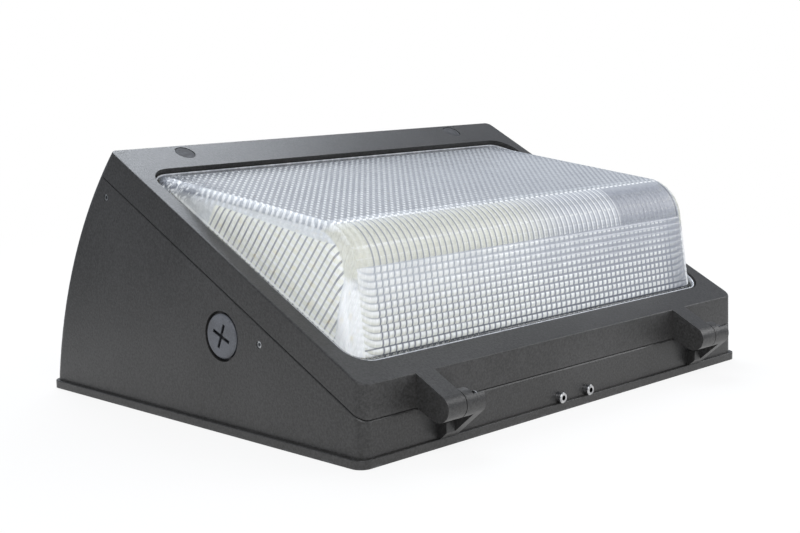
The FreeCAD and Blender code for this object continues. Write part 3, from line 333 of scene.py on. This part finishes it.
# ------------------------------------------------------------------ zinc-plated steel
# Pressed and headed steel parts, bright zinc with the faint cloudy bloom of the bath
# and small scratches from the driver bit.
zinc, place, feed = new_finish("zinc_steel", Metallic=1.0)
bloom = noise(place, scale=170.0, detail=5.0, Roughness=0.6)
scratch = noise(place, scale=2600.0, detail=3.0)
feed("Base Color", bloom.step(0.25, 0.75).blend(srgb(150, 154, 160), srgb(206, 208, 208)))
feed("Roughness", bloom * 0.25 + scratch * 0.12 + 0.16)
feed("Normal", bump(scratch, strength=0.3, depth=0.0001))
dress(zinc, "clip_screws", "hinge_pin_left", "hinge_pin_right", "tray_screws",
      "board_screws", "driver_screws", "terminal_bracket", "front_nuts",
      "terminal_screws", "block_fixing_screws", "earth_screw")


# ------------------------------------------------------------------ rubber
# Screw caps, gaskets and grommets: black silicone, matt from the mould, with a grey
# dusty bloom; the flat seal between door and glass rim is the same rubber in grey.
rubber, place, feed = new_finish("seal_rubber", Specular_IOR_Level=0.35)
dust = noise(place, scale=300.0, detail=5.0, Roughness=0.65)
pores = noise(place, scale=3000.0, detail=2.0)
feed("Base Color", dust.step(0.35, 0.8).blend(srgb(52, 52, 54), srgb(84, 85, 88)))
feed("Roughness", dust * 0.25 + 0.55)
feed("Normal", bump(pores, strength=0.35, depth=0.0001))
dress(rubber, "door_gasket", "screw_cap_left", "screw_cap_right", "tray_grommet",
      "entry_grommet", "plug_seals")

seal, place, feed = new_finish("bead_rubber", Specular_IOR_Level=0.4)
dust = noise(place, scale=300.0, detail=5.0, Roughness=0.65)
feed("Base Color", dust.step(0.3, 0.8).blend(srgb(62, 63, 65), srgb(84, 86, 89)))
feed("Roughness", dust * 0.25 + 0.45)
feed("Normal", bump(dust, strength=0.3, depth=0.0001))
dress(seal, "refractor_gasket")


# ------------------------------------------------------------------ tray and boards
# The tray is folded steel under cream baked enamel, with a faint ripple. The boards
# are aluminium cores under white solder mask, and each chip is a yellow dot of
# phosphor under clear silicone.
enamel, place, feed = new_finish("white_reflector", Coat_Weight=0.3, Coat_Roughness=0.1)
ripple = noise(place, scale=45.0, detail=3.0)
fine = noise(place, scale=900.0, detail=2.0)
smut = noise(place, scale=16.0, detail=6.0, Roughness=0.7)
baked = ripple.step(0.3, 0.7).blend(srgb(202, 200, 186), srgb(217, 215, 203))
feed("Base Color", (smut.step(0.55, 0.80) * 0.5).blend(baked, srgb(176, 174, 160)))
feed("Roughness", ripple * 0.12 + fine * 0.08 + 0.24)
feed("Normal", bump(ripple + fine * 0.3, strength=0.2, depth=0.0002))
dress(enamel, "reflector_tray")

# Copper tracks show through the mask as darker lines: along the board every 16 mm, and
# finer ones across it every 14 mm, measured up the slope on which the boards lie.
mask, place, feed = new_finish("board_mask")
across, deep, tall = parts_of(place)
up_board = deep * 0.889 + tall * 0.458
weave = noise(place, scale=1500.0, detail=2.0)
tracks = across.lines(start=-148.0, pitch=16.0, half=0.5, soft=0.3)
cross_tracks = up_board.lines(start=0.0, pitch=14.0, half=0.15, soft=0.25)
masked = (tracks * 0.7 + cross_tracks * 0.3 + weave * 0.2).blend(srgb(232, 233, 228),
                                                                srgb(186, 192, 182))
feed("Base Color", masked)
feed("Roughness", weave * 0.1 + 0.3)
feed("Normal", bump(tracks, strength=0.2, depth=0.0001))
dress(mask, "led_board_left", "led_board_right")

phosphor, place, feed = new_finish("led_phosphor", Coat_Weight=0.6, Coat_Roughness=0.05)
glob = noise(place, scale=1200.0, detail=2.0)
feed("Base Color", glob.step(0.3, 0.7).blend(srgb(226, 196, 84), srgb(242, 220, 130)))
feed("Roughness", glob * 0.1 + 0.2)
dress(phosphor, "led_chips_left", "led_chips_right")

ivory, place, feed = new_finish("ivory_plastic")
flow = noise(place, scale=120.0, detail=4.0)
feed("Base Color", flow.step(0.3, 0.7).blend(srgb(226, 222, 204), srgb(238, 235, 222)))
feed("Roughness", flow * 0.15 + 0.34)
feed("Normal", bump(flow, strength=0.15, depth=0.0001))
dress(ivory, "board_connector", "terminal_block")


# ------------------------------------------------------------------ driver
# An extruded aluminium case, drawn lengthways so that its marks run along X, between
# two moulded black nylon end caps.
draw_stretch = (0.04, 1.0, 1.0)     # scale of the marks, longest along X
case, place, feed = new_finish("driver_case", Metallic=1.0)
stretched = place.node("Mapping", _0=place, _3=draw_stretch)
drawn = noise(stretched, scale=1800.0, detail=3.0)
haze = noise(place, scale=30.0, detail=3.0)
feed("Base Color", (drawn * 0.6 + haze * 0.4).blend(srgb(164, 167, 170), srgb(206, 208, 210)))
feed("Roughness", drawn * 0.2 + haze * 0.1 + 0.25)
feed("Normal", bump(drawn, strength=0.25, depth=0.0001))
dress(case, "driver")

nylon, place, feed = new_finish("black_plastic")
spark = noise(place, scale=2200.0, detail=2.0)
feed("Base Color", spark.blend(srgb(34, 34, 36), srgb(54, 54, 57)))
feed("Roughness", spark * 0.2 + 0.42)
feed("Normal", bump(spark, strength=0.4, depth=0.0001))
dress(nylon, "driver_end_caps")


# ------------------------------------------------------------------ leads
# Stranded wires in extruded PVC jackets, run from piece to piece, and the tinned
# copper ring terminal under the earth screw. The jackets are cloudy and half matt.
def jacket(name, dark, light, node):
    """Dress a lead in a jacket between two shades."""
    finish, place, feed = new_finish(name)
    shade = noise(place, scale=260.0, detail=4.0)
    feed("Base Color", shade.step(0.3, 0.7).blend(dark, light))
    feed("Roughness", shade * 0.2 + 0.36)
    feed("Normal", bump(shade, strength=0.2, depth=0.0001))
    dress(finish, node)


jacket("supply_jacket", srgb(44, 44, 46), srgb(64, 64, 66), "lead_supply")
jacket("board_jacket", srgb(218, 218, 214), srgb(236, 236, 232), "lead_boards")
jacket("earth_jacket", srgb(40, 132, 62), srgb(66, 158, 84), "lead_earth")

tinned, place, feed = new_finish("tinned_copper", Metallic=1.0)
solder = noise(place, scale=500.0, detail=4.0)
feed("Base Color", solder.step(0.3, 0.7).blend(srgb(190, 186, 178), srgb(222, 220, 214)))
feed("Roughness", solder * 0.2 + 0.2)
dress(tinned, "earth_terminal")


# ------------------------------------------------------------------ refractor
# One pressed dome of borosilicate glass, 4 mm thick, on a flat rim under the door.
# Level rows of prisms cross the front, ribs run inside up the front, over the nose and
# up the slope, ridges cross the slope and slanting flutes cover the two sides.
millimetre = 0.001
door_front = -145.22                # y and z of the door's front top edge
door_height = 44.97
door_slope = math.radians(27.27)

# Below, along is measured up the door's slope from that edge, height out of its face,
# and x or across as in the frame, all in millimetres.
plate_under = 4.0                   # door plate's underside, below its face
glass_side = 164.9                  # dome's half width at that underside,
glass_front = 21.1                  # and its front and back there, along
glass_back = 222.2
glass_top_along = 63.3              # point in which front and slope would meet
glass_top = 55.8
nose_radius = 28.0
edge_radius = 10.0                  # between the face and the sides
glass_wall = 4.0
glass_draft = math.tan(math.radians(1.5))       # of the sides
foot_level = 5.5                    # dome meets its rim this far below the door's face
rim_level = 9.5                     # and the rim's underside lies at this level
rim_side = 173.0                    # rim's outline, a rounded rectangle
rim_front = 12.0
rim_back = 231.0
rim_corner = 18.0
rib_pitch = 4.95                    # ribs, across
rib_start = -142.1
rib_depth = 0.55
row_pitch = 3.34                    # rows on the front, down from the nose
row_top = 37.3
row_depth = 0.40
crest_pitch = 4.4                   # ridges over the slope, along
crest_depth = 0.12
flute_pitch = 4.59                  # flutes on the sides, along
flute_start = 160.1
flute_lean = 0.17                   # along per height


def to_frame(x, along, height):
    """Frame metres of points given across, up the door's slope and out of its face."""
    y = door_front + along * np.cos(door_slope) - height * np.sin(door_slope)
    z = door_height + along * np.sin(door_slope) + height * np.cos(door_slope)
    return np.stack((x, y, z), -1) * millimetre


def unit(along, height):
    """Direction of length 1: the two parts over the root of their squares' sum."""
    length = math.hypot(along, height)
    return np.array((along / length, height / length))


down_front = unit(glass_front - glass_top_along, -plate_under - glass_top)
down_back = unit(glass_back - glass_top_along, -plate_under - glass_top)
half_angle = math.acos(float(down_front @ down_back)) / 2
inward = unit(*(down_front + down_back))
nose_centre = (np.array((glass_top_along, glass_top))
               + inward * nose_radius / math.sin(half_angle))


def outward_of(line):
    """Normal of the front's or the slope's line: it turned square, away from inward."""
    normal = np.array((-line[1], line[0]))
    return normal * (1 if normal @ inward < 0 else -1)


out_front = outward_of(down_front)
out_back = outward_of(down_back)
turn_front = math.atan2(out_front[1], out_front[0])
turn_back = math.atan2(out_back[1], out_back[0])


def profile(step, inset, low):
    """Side view of the dome drawn in by inset, as points and outward normals.

    step runs 0 to 1 up the front from the foot at the level low, 1 to 2 round the
    nose about one fixed centre, and 2 to 3 down the slope to the back foot.
    """
    turn = turn_front + (turn_back - turn_front) * np.clip(step - 1, 0, 1)
    normal = np.stack((np.cos(turn), np.sin(turn)), -1)
    arc = nose_centre + normal * (nose_radius - inset)
    ends = []
    for line, outward in ((down_front, out_front), (down_back, out_back)):
        tangent = nose_centre + outward * (nose_radius - inset)
        ends.append(line * (tangent[1] + low) / -line[1])
    front = np.clip(1 - step, 0, 1)[..., None] * ends[0]
    back = np.clip(step - 2, 0, 1)[..., None] * ends[1]
    return arc + front + back, normal


def dome(step, across, inset, low):
    """The dome's surface: a profile swept across, with rounded edges and drafted sides.

    across is 0 to 1 up the left side, 1 to 2 round the left edge, 2 to 3 over the
    face, and the same again down to 5 on the right. Returns the points, their outward
    directions and the angle by which these lean to the side.
    """
    spine, normal = profile(step, inset, low)
    radius = edge_radius - inset
    sign = np.where(across < 2.5, -1.0, 1.0)
    fold = np.where(across < 2.5, across, 5 - across)
    angle = np.pi / 2 * (1 - np.clip(fold - 1, 0, 1))
    sunk = radius * (1 - np.cos(angle))
    along = spine[..., 0] - normal[..., 0] * sunk
    height = spine[..., 1] - normal[..., 1] * sunk
    height = np.maximum(height, -low)
    height = -low + (height + low) * np.clip(fold, 0, 1)
    side = glass_side - inset - (height + plate_under) * glass_draft
    edge = side - radius * (1 - np.sin(angle))
    x = np.where(fold > 2, edge * (across - 2.5) * 2, sign * edge)
    way = np.stack((sign * np.sin(angle), np.cos(angle) * normal[..., 0],
                    np.cos(angle) * normal[..., 1]), -1)
    return np.stack((x, along, height), -1), way, angle


def runs(*parts):
    """Grid lines: for each (from, to, count) that many equal steps, joined up."""
    lines = [np.linspace(a, b, n, endpoint=False) for a, b, n in parts]
    return np.concatenate(lines + [[parts[-1][1]]])


def ridge(x, pitch):
    """Round ridges with sharp valleys: 0 in a valley and 1 on a crest."""
    return np.abs(np.sin(np.pi * x / pitch))


# Outer skin: rows pressed into the front and low crests over the slope.
steps_out = runs((0, 1, 96), (1, 2, 18), (2, 3, 150))
cross_out = runs((0, 1, 14), (1, 2, 7), (2, 3, 150), (3, 4, 7), (4, 5, 14))
grid_step, grid_cross = np.meshgrid(steps_out, cross_out, indexing="ij")
outer, way, angle = dome(grid_step, grid_cross, 0.0, foot_level)
flat = np.cos(angle) ** 2
on_front = (grid_step < 1) * flat
on_slope = (grid_step > 2) * flat
rows = ridge(outer[..., 2] - row_top, row_pitch) - 1
crests = ridge(outer[..., 1], crest_pitch) - 1
relief = row_depth * rows * on_front + crest_depth * crests * on_slope
outer = outer + way * relief[..., None]

# Inner skin: ribs that stand into the dome, dying out towards the sides.
steps_in = runs((0, 1, 26), (1, 2, 18), (2, 3, 50))
cross_in = runs((0, 1, 10), (1, 2, 6), (2, 3, 400), (3, 4, 6), (4, 5, 10))
grid_step, grid_cross = np.meshgrid(steps_in, cross_in, indexing="ij")
inner, way, angle = dome(grid_step, grid_cross, glass_wall, rim_level)
ribs = ridge(inner[..., 0] - rib_start, rib_pitch) * np.cos(angle) ** 4
inner = inner - way * (rib_depth * ribs)[..., None]


def grid_faces(rows, columns, start):
    """Quads of a grid of points numbered row by row from start."""
    r, c = np.meshgrid(np.arange(rows - 1), np.arange(columns - 1), indexing="ij")
    a = start + r * columns + c
    return np.stack((a, a + 1, a + columns + 1, a + columns), -1).reshape(-1, 4)


def grid_edge(rows, columns, start):
    """Point numbers round the edge of such a grid."""
    index = start + np.arange(rows * columns).reshape(rows, columns)
    return np.concatenate((index[0, :-1], index[:-1, -1], index[-1, :0:-1],
                           index[:0:-1, 0]))


def zip_loops(points, first, second):
    """Triangles between two loops of point numbers round the same middle.

    Both are put in order of bearing; each point then closes a triangle with the
    point before it and the nearest one behind it on the other loop.
    """
    middle = np.array((0.0, (rim_front + rim_back) / 2))
    loops, bearings = [], []
    for loop in (first, second):
        away = points[loop, :2] - middle
        bearing = np.arctan2(away[:, 1], away[:, 0])
        order = np.argsort(bearing, kind="stable")
        loops.append(loop[order])
        bearings.append(bearing[order])
    order = np.argsort(np.concatenate(bearings), kind="stable")
    is_first = order < len(first)
    at = np.cumsum(is_first) - 1
    at_other = np.cumsum(~is_first) - 1
    a = loops[0][at % len(first)]
    b = loops[1][at_other % len(second)]
    before = np.where(is_first, loops[0][(at - 1) % len(first)],
                      loops[1][(at_other - 1) % len(second)])
    return np.stack((a, b, before), -1)


def rim_edge(level, count):
    """Points round the flat rim, a rounded rectangle, at that level under the door.

    Each lies on a ray from the middle at one of count even bearings. Where the ray
    leaves through a corner, its reach is drawn in, twelve times over, by as much as
    its end lies past the corner's arc.
    """
    bearing = np.linspace(-np.pi, np.pi, count, endpoint=False)
    half = np.array((rim_side, (rim_back - rim_front) / 2))
    ray = np.stack((np.cos(bearing), np.sin(bearing)), -1)
    reach = (half / np.maximum(np.abs(ray), 1e-9)).min(-1)
    core = half - rim_corner
    for _ in range(12):
        spot = np.abs(ray * reach[:, None])
        past = np.maximum(spot - core, 0)
        inside = (past > 0).all(-1)
        reach = reach - np.where(inside, np.linalg.norm(past, axis=-1) - rim_corner, 0)
    spot = ray * reach[:, None]
    middle = (rim_front + rim_back) / 2
    return np.stack((spot[:, 0], spot[:, 1] + middle, np.full(count, -level)), -1)


def moulded(name, points, faces):
    """A new object of points on the door, its doubles merged and its faces outwards."""
    mesh = bpy.data.meshes.new(name)
    mesh.from_pydata(to_frame(*points.T).tolist(), [], faces)
    shell = bmesh.new()
    shell.from_mesh(mesh)
    bmesh.ops.remove_doubles(shell, verts=shell.verts, dist=1e-6)
    bmesh.ops.recalc_face_normals(shell, faces=shell.faces)
    shell.to_mesh(mesh)
    shell.free()
    mesh.shade_smooth()
    piece = bpy.data.objects.new(name, mesh)
    bpy.context.scene.collection.objects.link(piece)
    return piece


# The shell: both skins, with the rim's upper and lower edge zipped in between them.
edge_count = 240                    # points round each edge of the rim
sets = [outer.reshape(-1, 3), inner.reshape(-1, 3),
        rim_edge(foot_level, edge_count), rim_edge(rim_level, edge_count)]
starts = np.cumsum([0] + [len(s) for s in sets])
points = np.concatenate(sets)
loop_out = grid_edge(*outer.shape[:2], starts[0])
loop_in = grid_edge(*inner.shape[:2], starts[1])
loop_top = starts[2] + np.arange(edge_count)
loop_bottom = starts[3] + np.arange(edge_count)
faces = (grid_faces(*outer.shape[:2], starts[0]).tolist()
         + grid_faces(*inner.shape[:2], starts[1]).tolist()
         + zip_loops(points, loop_out, loop_top).tolist()
         + zip_loops(points, loop_top, loop_bottom).tolist()
         + zip_loops(points, loop_bottom, loop_in).tolist())
glass = moulded("refractor_glass", points, faces)

# Where a point of the glass lies: up the slope and out of the door as above, over the
# nose, and how deep under the outer skin, which alone carries the pattern.
clear, place, _ = new_finish("prismatic_glass", Base_Color=(0.97, 0.98, 0.98, 1.0),
                             Roughness=0.05, IOR=1.47, Transmission_Weight=1.0)
across, deep, tall = parts_of(place)
slope_cos = math.cos(door_slope)
slope_sin = math.sin(door_slope)
along = (deep - door_front) * slope_cos + (tall - door_height) * slope_sin
height = (tall - door_height) * slope_cos - (deep - door_front) * slope_sin
half = abs(across)


def off_plane(outward):
    """Distance outside the dome's slope or front, by that plane's outward normal."""
    return ((along - glass_top_along) * float(outward[0])
            + (height - glass_top) * float(outward[1]))


def past_centre(line):
    """How far a point lies past the nose's centre, along the slope or the front."""
    return ((along - float(nose_centre[0])) * float(line[0])
            + (height - float(nose_centre[1])) * float(line[1]))


radial = hypotenuse(along - float(nose_centre[0]),
                    height - float(nose_centre[1])) - nose_radius
in_nose = ((1.0 - past_centre(down_back).step(-0.4, 0.4))
           * (1.0 - past_centre(down_front).step(-0.4, 0.4)))
planes = off_plane(out_back).larger(off_plane(out_front))
skin = radial * in_nose + planes * (1.0 - in_nose)
from_side = glass_side - half - (height + plate_under) * glass_draft
past_side = (edge_radius - from_side).larger(0.0)
past_skin = (skin + edge_radius).larger(0.0)
depth = hypotenuse(past_side, past_skin) - edge_radius
outside = depth.step(-2.8, -1.8) * height.step(-5.2, -4.6)

# Zones of the outer skin: sideways is 0 on the face and 1 on a side, and rises round
# the edge between them. Here and below, limits of across, along and height are places
# on the glass in millimetres, and limits of noises are their own values.
slope_starts = (76.6, 77.4)         # along
nose_starts = (37.2, 37.9)          # height
face_ends = (0.10, 0.16)            # sideways
side_starts = (0.52, 0.60)
last_rib = 143.6                    # half width that ribs and joints cover
sideways = past_side / (past_side + past_skin + 0.001)
past_face = sideways.step(*face_ends)
on_side = sideways.step(*side_starts)
up_slope = along.step(*slope_starts)
past_front = height.step(*nose_starts)
to_right = across.step(-40.0, 150.0)
to_dots = across.step(-110.0, 90.0)
ribbed = 1.0 - half.step(last_rib, last_rib + 1.4)

# The colours below paint the glass's look onto its skin: the cream of the tray seen through
# it, its highlights, and the grey and dark of its prism lines and of the shade inside.
white = srgb(243, 244, 243)
cream = srgb(211, 211, 198)
pale = srgb(200, 203, 206)
grey = srgb(150, 153, 161)
dark = srgb(104, 108, 117)
black = (0.0, 0.0, 0.0, 1.0)
mottle = noise(place, scale=42.0, detail=4.0)
fleck = noise(place, scale=420.0, detail=3.0)
wisp = noise(place, scale=70.0, detail=5.0, Distortion=1.2)
caustic = noise(place, scale=150.0, detail=5.0, Distortion=1.5)

# Front: each row's cells have a painted highlight, white, above and are cream below,
# where the tray shows through, between leaning joints. To the right they shrink to white
# dots on grey, and beyond the last joints the rows' seams curl up round the corners. A
# dark line closes the lowest row.
joint_lean = 1.1                    # across, over one row
curl = 0.022                        # rise of a seam per square of the way past the joints
past_joints = (half - (last_rib - 0.1)).larger(0.0)
curled = height - past_joints * past_joints * curl
row = (row_top - curled) / row_pitch
in_row = row.maths("FRACT")
low_rows = row.step(1.0, 9.0)
joint = (across + (in_row - 0.5) * joint_lean).lines(
    rib_start, rib_pitch, half=0.30 + to_dots * 0.25, soft=0.75)
seam_half = 0.04 + (1.0 - low_rows) * 0.07 + to_dots * (0.20 - low_rows * 0.11)
seam = 1.0 - in_row.maths("PINGPONG", 0.5).step(seam_half, seam_half + 0.12)
seam = seam * (0.62 + to_dots * 0.30) * (1.0 - half.step(148.0, 156.0) * 0.8)
mesh_lines = (joint * 0.95 * ribbed).larger(seam)
# Painted highlight: the upper part of each row's cells is white, the lower part cream.
cell = in_row.step(0.25, 0.75) * (0.25 + low_rows * 0.55) * (1.0 - to_dots * 0.8)
cells = cell.blend(white, cream)
cells = ((1.0 - low_rows) * mottle.step(0.40, 0.62) * 0.45).blend(cells, pale)
cells = (across.step(126.0, 150.0) * 0.8).blend(cells, grey)
mortar = low_rows.blend(srgb(172, 176, 183), srgb(118, 121, 131))
mortar = to_dots.blend(mortar, low_rows.blend(srgb(166, 169, 177), srgb(136, 140, 149)))
front_shade = mesh_lines.blend(cells, mortar)
front_shade = (height.line(0.6, half=0.2, soft=0.4) * 0.85).blend(front_shade, dark)

# Nose: cream bands between the grey ribs, with a painted highlight beside each rib that
# grows whiter to the right, crossed by two broken level glints, painted too, and grey at
# the far end.
# Painted highlight: a white glint beside each rib, strongest on the right.
glint = across.lines(rib_start + 1.15, rib_pitch, half=0.35, soft=0.60)
bands = across.step(-30.0, 40.0).blend(cream, srgb(186, 189, 194))
bands = (glint * (0.15 + to_dots * 0.75)).blend(bands, white)
# Painted highlights: two broken level glints across the nose.
high_glint = height.line(45.6, half=0.15, soft=0.5)
low_glint = height.line(41.3, half=0.1, soft=0.4) * 0.6
level = high_glint.larger(low_glint) * 0.6 * fleck.step(0.35, 0.6)
bands = level.blend(bands, white)
rib = across.lines(rib_start, rib_pitch, half=0.35, soft=0.45)
nose_shade = (rib * 0.9 * ribbed).blend(bands, grey)
far_end = across.step(85.0, 89.0) * (1.0 - across.step(151.0, 153.0)) * 0.93
far_shade = fleck.step(0.35, 0.75).blend(grey, srgb(166, 169, 176))
nose_shade = far_end.blend(nose_shade, far_shade)
nose_shade = (across.line(152.6, half=0.5, soft=1.0) * 0.8).blend(nose_shade, dark)
nose_shade = (along.step(70.0, 76.0) * 0.35).blend(nose_shade, pale)

# Slope: the ribs inside and the ridges outside cross in a square weave, which shows as
# pale diagonal stripes, and as bright dots on them towards the left. Its first ridge
# is a row of white dashes on grey.
first_ridge = 77.9                  # along
weave = across * 0.198 - along * 0.207          # counts stripes
cross_weave = across * 0.202 - along * 0.009    # counts dots along a stripe
stripe = weave.lines(start=0.45, pitch=1.0, half=0.10, soft=0.32)
dot = (weave.lines(start=0.43, pitch=1.0, half=0.10, soft=0.20)
       * cross_weave.lines(start=0.62, pitch=1.0, half=0.16, soft=0.22))
slope_shade = mottle.step(0.3, 0.7).blend(srgb(156, 159, 165), srgb(168, 171, 176))
slope_shade = (stripe * (0.45 + to_right * 0.35)).blend(slope_shade, srgb(208, 211, 213))
slope_shade = (dot * (0.95 - to_dots * 0.95)).blend(slope_shade, white)
dashes = (across - along * 0.8).lines(rib_start - 60.8, rib_pitch, half=1.0, soft=0.8)
dashes = dashes * along.line(first_ridge, half=0.7, soft=0.8)
slope_shade = (along.line(first_ridge, half=1.0, soft=0.8) * 0.4).blend(slope_shade, grey)
slope_shade = dashes.blend(slope_shade, white)

# Sides: cream panes between dark slanting flutes and white level lines, inside a smooth
# grey band that runs up the front, along the upper edge and down the back.
rung_start = 35.8
rung_pitch = 4.3
from_nose = along - height * 0.326  # square to the front's line
flute = (along + height * flute_lean).lines(flute_start, flute_pitch, half=0.40, soft=0.50)
rung = height.lines(rung_start, rung_pitch, half=0.45, soft=0.7)
rung = rung * (1.0 - along.step(90.0, 170.0) * 0.75)
panes = (rung * 0.9).blend(srgb(236, 236, 225), white)
panes = (flute * 0.85).blend(panes, srgb(128, 131, 142))
band = (height + along * 0.335).step(66.0, 67.2).larger(along.step(160.5, 163.0))
band = band.larger(1.0 - from_nose.step(40.0, 41.5))
band_shade = fleck.step(0.35, 0.75).blend(srgb(205, 209, 212), srgb(226, 229, 231))
side_shade = band.blend(panes, band_shade)

# Rounded edge: a row of scallops beside the slope, painted highlights in white on grey,
# and a smooth cap beside the front and the nose, white below, cream above and wisped with
# white painted highlights. A grey band crosses the cap.
# Painted highlight: the edge's white reflection, broken into scallops.
wave = (along + half * 0.9 + wisp * 5.0).lines(0.0, flute_pitch, half=0.6, soft=1.0)
scallop_highlights = (wave * (0.35 + wisp * 0.9)).blend(srgb(172, 176, 182), white)
cap_shade = height.step(30.0, 34.0).blend(srgb(247, 248, 248), srgb(213, 213, 201))
cap_grey_band = height.line(30.5, half=1.5, soft=2.0) * mottle.step(0.35, 0.6) * 0.6
cap_shade = cap_grey_band.blend(cap_shade, grey)
# Painted highlights: white wisps over the cap, and more of them near its top.
cap_shade = (wisp.step(0.56, 0.66) * 0.5).blend(cap_shade, white)
cap_shade = (height.step(46.0, 50.0) * wisp.step(0.42, 0.56) * 0.8).blend(cap_shade, white)
edge = along.step(74.0, 80.0).blend(cap_shade, scallop_highlights)

# All together, with a painted highlight, a white line, round the sides' foot, and
# painted shade, dark, under it in the window's gap.
face = past_front.blend(front_shade, nose_shade)
face = up_slope.blend(face, slope_shade)
shade = past_face.blend(face, edge)
shade = on_side.blend(shade, side_shade)
front_corner = (1.0 - from_nose.step(38.5, 41.0)) * sideways.step(0.12, 0.42)
shade = front_corner.blend(shade, cap_shade)
foot_highlight = height.line(-1.3, half=0.4, soft=0.6) * sideways.step(0.5, 0.6)
shade = foot_highlight.blend(shade, white)
# Painted shade: below the rim's gap the glass is coloured dark.
shade = (1.0 - height.step(-2.8, -2.0)).blend(shade, srgb(70, 72, 76))

# Back corners: dark caustics with white specks where the slope meets its foot.
murk = along.step(160.0, 190.0) * (skin + half * 0.4).step(54.0, 61.0)
shade = (murk * caustic.step(0.40, 0.56)).blend(shade, srgb(132, 136, 144))
shade = (murk * caustic.step(0.60, 0.66)).blend(shade, white)

# Relief too fine for the mesh: lines along the ribs sink on the front and the nose,
# stripes and dots stand out of the slope, scallops swell on the edge, and on the sides
# level lines rise and flutes sink.
flats = rib * -0.6 * ribbed * (1.0 - up_slope) + (stripe * 0.3 + dot * 0.3) * up_slope
swell = ((1.0 - past_face) * flats + past_face * (1.0 - on_side) * wave
         + on_side * (1.0 - band) * (rung * 0.3 - flute * 0.6))

# Pressed glass scatters: four fifths of the outer skin is this painted pattern, rougher on
# the nose and round the edges, and the rest, like the whole inner skin, is clear.
nose_only = in_nose * (1.0 - sideways.step(0.1, 0.4))
on_edge = sideways.step(0.02, 0.10) * (1.0 - sideways.step(0.55, 0.75))
painted = place.node(
    "BsdfPrincipled", Base_Color=shade,
    Roughness=fleck * 0.12 + nose_only * 0.25 + on_edge * 0.40 + 0.10,
    Specular_IOR_Level=0.5,
    Coat_Weight=0.25 - (nose_only + on_edge).smaller(1.0) * 0.25, Coat_Roughness=0.03,
    # Painted glow: the side panes shine faintly in their own colour, for light scattered in
    # it.
    Emission_Color=(on_side * outside).blend(black, side_shade), Emission_Strength=0.13,
    Normal=bump(swell, strength=0.6, depth=0.0005))
painted_share = 0.80 + (mesh_lines * 0.2 + dot * 0.2).smaller(1.0)
see_through = Wire(clear.node_tree, clear.node_tree.nodes["Principled BSDF"].outputs[0])
mixed = place.node("MixShader", _0=outside * painted_share, _1=see_through, _2=painted)
place.plug(mixed, clear.node_tree.nodes["Material Output"].inputs[0])
glass.data.materials.append(clear)
glass.visible_shadow = False        # light passes the glass to what lies behind
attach(glass, "door")
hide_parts("refractor")


# ------------------------------------------------------------------ glass bead
# A grey silicone strip, run into the gap between the window's edge and the glass: it
# stands on the glass's rim and its rounded top shows as a pale line in a dark gap,
# deeper along the back, where the glass slopes down to it.
bead_side = 167.4                   # middle of the strip: half width,
bead_front = 17.9                   # and its front and back, along
bead_back = 223.1
bead_corner = 14.6
bead_corner_steps = 10
bead_top_points = 9                 # on the strip's half round top
bead_half = 0.5                     # half of the strip's own width
bead_top = 0.9                      # levels under the door's face
bead_foot = 5.45
bead_drop = 2.4                     # by which the top lies deeper at the back
bead_drop_start = 200.0             # along, and over how long it gets there
bead_drop_run = 20.0


def strip_path(side, front, back, corner, count):
    """Middle line of the strip, a rounded rectangle, with its outward directions.

    Each corner is an arc of count steps about its centre; straights join them.
    """
    centres = ((side - corner, back - corner), (corner - side, back - corner),
               (corner - side, front + corner), (side - corner, front + corner))
    spots, ways = [], []
    for quarter, centre in enumerate(centres):
        angle = np.linspace(0, np.pi / 2, count + 1) + quarter * np.pi / 2
        way = np.stack((np.cos(angle), np.sin(angle)), -1)
        spots.append(np.array(centre) + way * corner)
        ways.append(way)
    return np.concatenate(spots), np.concatenate(ways)


def tube_faces(rounds, sides):
    """Quads of a closed ring of closed outlines, each point numbered in turn."""
    index = np.arange(rounds * sides).reshape(rounds, sides)
    ahead = np.roll(index, -1, 0)
    return np.stack((index, ahead, np.roll(ahead, -1, 1), np.roll(index, -1, 1)),
                    -1).reshape(-1, 4)


# The strip's outline, a half round on a flat foot, is carried along its middle line.
spots, ways = strip_path(bead_side, bead_front, bead_back, bead_corner, bead_corner_steps)
angle = np.linspace(0, np.pi, bead_top_points)
outline_out = np.concatenate(([bead_half], bead_half * np.cos(angle), [-bead_half]))
outline_up = np.concatenate(([-bead_foot], -bead_top - bead_half + bead_half * np.sin(angle),
                             [-bead_foot]))
flat_spots = spots[:, None, :] + ways[:, None, :] * outline_out[None, :, None]
sink = np.clip((spots[:, 1] - bead_drop_start) / bead_drop_run, 0, 1)
sink = bead_drop * sink * sink * (3 - 2 * sink)
levels = np.maximum(outline_up[None] - sink[:, None] * (outline_up > -bead_foot)[None],
                    -bead_foot)
ring = np.concatenate((flat_spots, levels[..., None]), -1)
strip = moulded("lens_bead", ring.reshape(-1, 3), tube_faces(*ring.shape[:2]).tolist())

silicone, place, feed = new_finish("bead_silicone", Specular_IOR_Level=0.6)
bloom = noise(place, scale=260.0, detail=4.0)
feed("Base Color", bloom.step(0.3, 0.75).blend(srgb(176, 179, 184), srgb(214, 216, 219)))
feed("Roughness", bloom * 0.2 + 0.16)
feed("Normal", bump(bloom, strength=0.3, depth=0.0002))
strip.data.materials.append(silicone)
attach(strip, "door")
